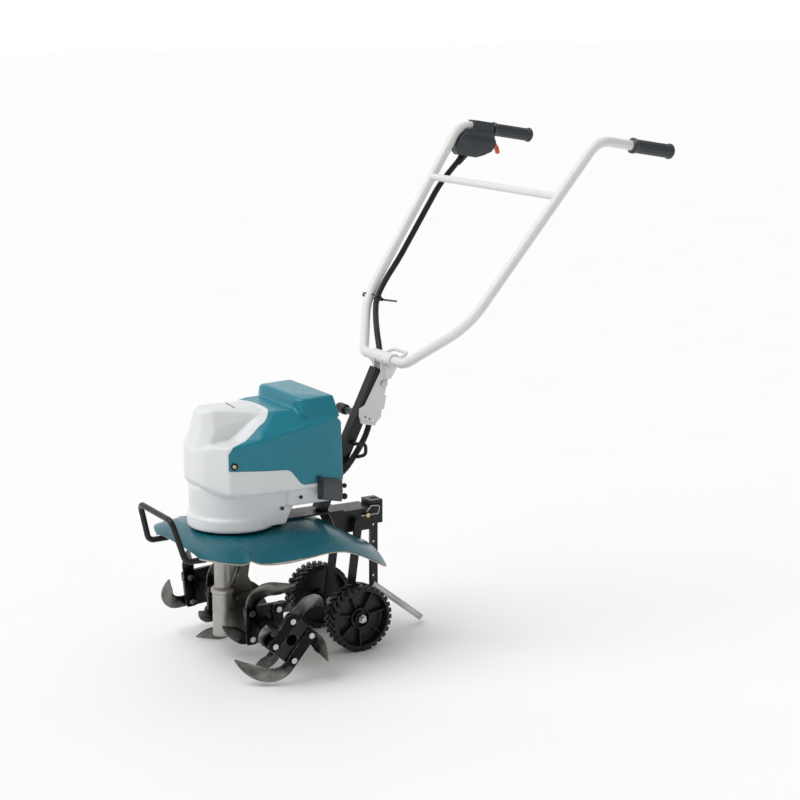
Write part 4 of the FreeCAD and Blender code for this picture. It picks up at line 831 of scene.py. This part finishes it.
def make_switch():
    upper = block_points(-15.6, 18.6, -21, 33, -16, 14.9)
    neck = block_points(-14, 20, -43, 39, -24, -8)
    bulge = (block_points(-15.8, 22.6, -56, 44, -38, -30) + block_points(-14.5, 21, -62, 36, -54, -48)
             + block_points(-12.5, 18, -60, 18, -65, -62) + block_points(-9, 13, -52, 0, -73, -71)
             + block_points(-13, 18, -45, 39, -20, -18))
    hulls = [[on_switch(*spot) for spot in group] for group in (upper, neck, bulge)]
    shell = moulded("switch", hulls, 1.5, 5, 0.3)
    slot_work = bmesh.new()
    hull(slot_work, [on_switch(*spot) for spot in block_points(-5.4, 5.4, 19.5, 62, -60, -14)])
    slot_mesh = bpy.data.meshes.new("slot")
    slot_work.to_mesh(slot_mesh)
    slot_work.free()
    shell = combined(shell, slot_mesh, "DIFFERENCE")
    finish_piece("switch_shell", shell, "slate_plastic", "handle", ["switch_box"], 40)
    seam = bmesh.new()
    outline = [(-15.9, -22), (19, -22), (19, 34), (-15.9, 34)]
    outline = rounded_outline(outline, 6)
    hull(seam, [on_switch(x, y, z) for x, y in outline for z in (-7.2, -6.0)])
    piece("switch_seam", seam, "grey_plastic", "handle", (), 40)


CABLE = [
    (-281.0, 727.0, 1040.0), (-277, 703, 1019), (-264, 660, 984), (-253, 617, 930), (-247, 575, 872),
    (-236, 530, 815), (-222, 486, 772), (-204, 452, 734), (-166, 428, 706), (-114, 402, 674), (-72, 384, 648),
    (-50, 375, 622), (-41, 366, 598), (-38, 359, 576), (-37, 353, 554), (-34, 344, 522), (-26, 334, 486),
    (-12, 314, 456), (8, 287, 437), (22, 263, 419), (33, 236, 397), (39.5, 208, 384.4), (40, 178, 384),
]


def make_cable():
    """The lead from the switch box to the housing, one smooth line along its listed route."""
    curve = bpy.data.curves.new("lead", "CURVE")
    curve.dimensions = "3D"
    curve.bevel_depth = 6.9 * MM
    curve.bevel_resolution = 6
    curve.resolution_u = 10
    spline = curve.splines.new("NURBS")
    spline.points.add(len(CABLE) - 1)
    for point, place in zip(spline.points, CABLE):
        point.co = (*at(*place), 1.0)
    spline.order_u = 3
    spline.use_endpoint_u = True
    thing = bpy.data.objects.new("lead", curve)
    bpy.context.collection.objects.link(thing)
    mesh = baked(thing)
    lead = finish_piece("lead", mesh, "black_rubber", None, ["upper_cable", "lower_cable"], 60)
    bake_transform(lead)


def make_relief():
    """The ribbed, tapered sleeve where the lead leaves the switch box."""
    profile = [(0, 0), (10.6, 0)]
    for k in range(5):
        r = 10.4 - 0.45 * k
        profile += [(r, 5 + 6 * k), (r - 1.1, 6 + 6 * k), (r - 1.1, 8 + 6 * k), (r - 0.3, 9 + 6 * k)]
    profile += [(7.6, 35), (0, 35)]
    place_lathe("relief_sleeve", profile, (-282.5, 745, 1056), (0.12, -0.72, -0.68), "black_rubber", "handle",
                ["strain_relief"], 40, 40)


# ---- latches, knob and small pieces -----------------------------------------------------------

def make_latch(name, sign):
    def strip(y0, y1, grow):
        points = []
        for y, low, high in ((y0, 366 - (y0 - 120) * 0.22, 416 - (y0 - 120) * 0.2),
                             (y1, 366 - (y1 - 120) * 0.22, 416 - (y1 - 120) * 0.2)):
            centre = (low + high) / 2
            for x, z in ((123, low + 2), (124.5, low), (127.6 + grow, low + 6), (129.8 + grow, centre - 9),
                         (130.6 + grow, centre + 2), (129.8 + grow, centre + 12), (127.6 + grow, high - 4),
                         (123, high - 1)):
                points.append((sign * x, y, z))
        return points
    panel = bmesh.new()
    hull(panel, strip(131, 178, 0))
    piece(name + "_latch_panel", panel, "grey_plastic", name + "_latch_body", [name + "_latch"], 40)
    side = bmesh.new()
    hull(side, strip(120, 130, 0))
    hull(side, [(sign * x, y, z) for x in (123.5, 130.4) for y, z in ((120, 408), (131, 406),
                (131, 415), (121, 417))])
    piece(name + "_latch_side", side, "black_plastic", name + "_latch_body", (), 40)


def make_knob():
    profile = [(0, 0), (4, 0.4), (4, 16), (8.6, 16), (9.2, 17), (9.2, 40), (7, 42), (7, 62),
               (10.5, 64), (11.8, 66),
               (12.2, 70), (11.4, 74), (12.2, 78), (11.4, 82), (12.2, 86), (12.2, 94), (10.8, 98.5), (0, 100)]
    place_lathe("knob_shape", profile, (-7, 298, 508), (-1, 0, 0), "black_plastic", "knob", ["lock_knob"], 40)
    collar = [(6, 0), (9.9, 0.6), (9.9, 13), (6, 13.6), (6, 0)]
    place_lathe("knob_collar", collar, (-27, 298, 508), (-1, 0, 0), "grey_plastic", "knob", (), 40)


def make_cover_screws():
    """A screw at each front lower corner of the cover, set in a black cup that is painted shade for the dark
    recess around the screw; both lift with it.
    """
    for name, sign in (("left", 1), ("right", -1)):
        # painted shade: a black cup stands in for the shade in the recess around the screw
        place_lathe(name + "_screw_recess_shade", [(0, 0), (7.4, 0), (7.6, 4.6), (6.6, 5.0), (5.6, 3.4), (0, 2.6)],
                    (sign * 103.0, -68, 457), (sign, -0.22, 0.05), "black_plastic", "cover", (), 36)
        place_lathe(name + "_screw_head", [(0, 0), (4.1, 0), (4.1, 2.6), (3.5, 3.4), (1.7, 3.4),
            (1.5, 1.8), (0, 1.6)],
                    (sign * 105.2, -68.5, 457.1), (sign, -0.22, 0.05), "brass_metal", "cover", (), 30)


def make_slit():
    """A thin dark strip across the white top, just in front of the cover: painted shade standing for the
    groove there.
    """
    work = bmesh.new()
    hull(work, [(x, y, z) for x, y in ((-23, -27), (-22, -24.4), (31, -29),
                (31, -31.6)) for z in (560, 567.4)])
    piece("top_slit_shade", work, "dark_gap", "chassis", (), 40)


make_housing()
make_fender()
make_blades()
make_wheel("left", 1)
make_wheel("right", -1)
make_grip("left", 1)
make_grip("right", -1)
make_switch()
make_cable()
make_relief()
make_latch("left", 1)
make_latch("right", -1)
make_knob()
make_cover_screws()
make_slit()

# ---- floor, light and camera -----------------------------------------------------------------

CAMERA_TILT = 11.86
CAMERA_TURN = 59.8
CAMERA_PLACE = (3827, -1830, 1463)
KEY_DIRECTION = (0.10, 0.55, -0.80)
KEY_STRENGTH = 2.1
KEY_SPREAD = 50


def make_stage():
    bpy.ops.mesh.primitive_plane_add(size=70, location=(0, 0, -0.0005))
    floor = bpy.context.object
    floor.name = "floor"
    pale = bpy.data.materials.new("pale_floor")
    pale.use_nodes = True
    tree = pale.node_tree
    shader = tree.nodes["Principled BSDF"]
    place = tree.nodes.new("ShaderNodeTexCoord")
    cloudy = noise(tree, place.outputs["Object"], 3.0)
    link(tree, mix_colour(tree, cloudy, (0.90, 0.90, 0.90), (0.92, 0.92, 0.92)), shader.inputs["Base Color"])
    shader.inputs["Roughness"].default_value = 0.7
    floor.data.materials.append(pale)
    make_world()


def make_world():
    """A white backdrop behind the machine and softer, dimmer light from the other sides."""
    world = bpy.data.worlds.new("studio")
    world.use_nodes = True
    tree = world.node_tree
    place = tree.nodes.new("ShaderNodeTexCoord")
    facing = tree.nodes.new("ShaderNodeVectorMath")
    facing.operation = "DOT_PRODUCT"
    facing.inputs[1].default_value = (-0.864, 0.503, 0.0)
    link(tree, place.outputs["Generated"], facing.inputs[0])
    backdrop = spread(tree, facing.outputs["Value"], 0.25, 0.75, AROUND, 1.0)
    colour = mix_colour(tree, backdrop, (0.0, 0.0, 0.0), (1.0, 1.0, 1.0))
    link(tree, colour, tree.nodes["Background"].inputs["Color"])
    bpy.context.scene.world = world


AROUND = 0.42


def sun_light(name, direction, strength, degrees):
    """A broad, far lamp: its light falls evenly on the floor and the machine."""
    data = bpy.data.lights.new(name, "SUN")
    data.energy = strength
    data.angle = math.radians(degrees)
    lamp = bpy.data.objects.new(name, data)
    bpy.context.collection.objects.link(lamp)
    lamp.rotation_euler = Vector(direction).to_track_quat("-Z", "Y").to_euler()


def make_camera():
    data = bpy.data.cameras.new("camera")
    data.lens = 90
    data.sensor_width = 36
    camera = bpy.data.objects.new("camera", data)
    bpy.context.collection.objects.link(camera)
    camera.location = at(*CAMERA_PLACE)
    camera.rotation_euler = (math.radians(90 - CAMERA_TILT), 0, math.radians(CAMERA_TURN))
    bpy.context.scene.camera = camera


make_stage()
sun_light("key", KEY_DIRECTION, KEY_STRENGTH, KEY_SPREAD)
make_camera()
bpy.context.scene.view_settings.view_transform = "Standard"
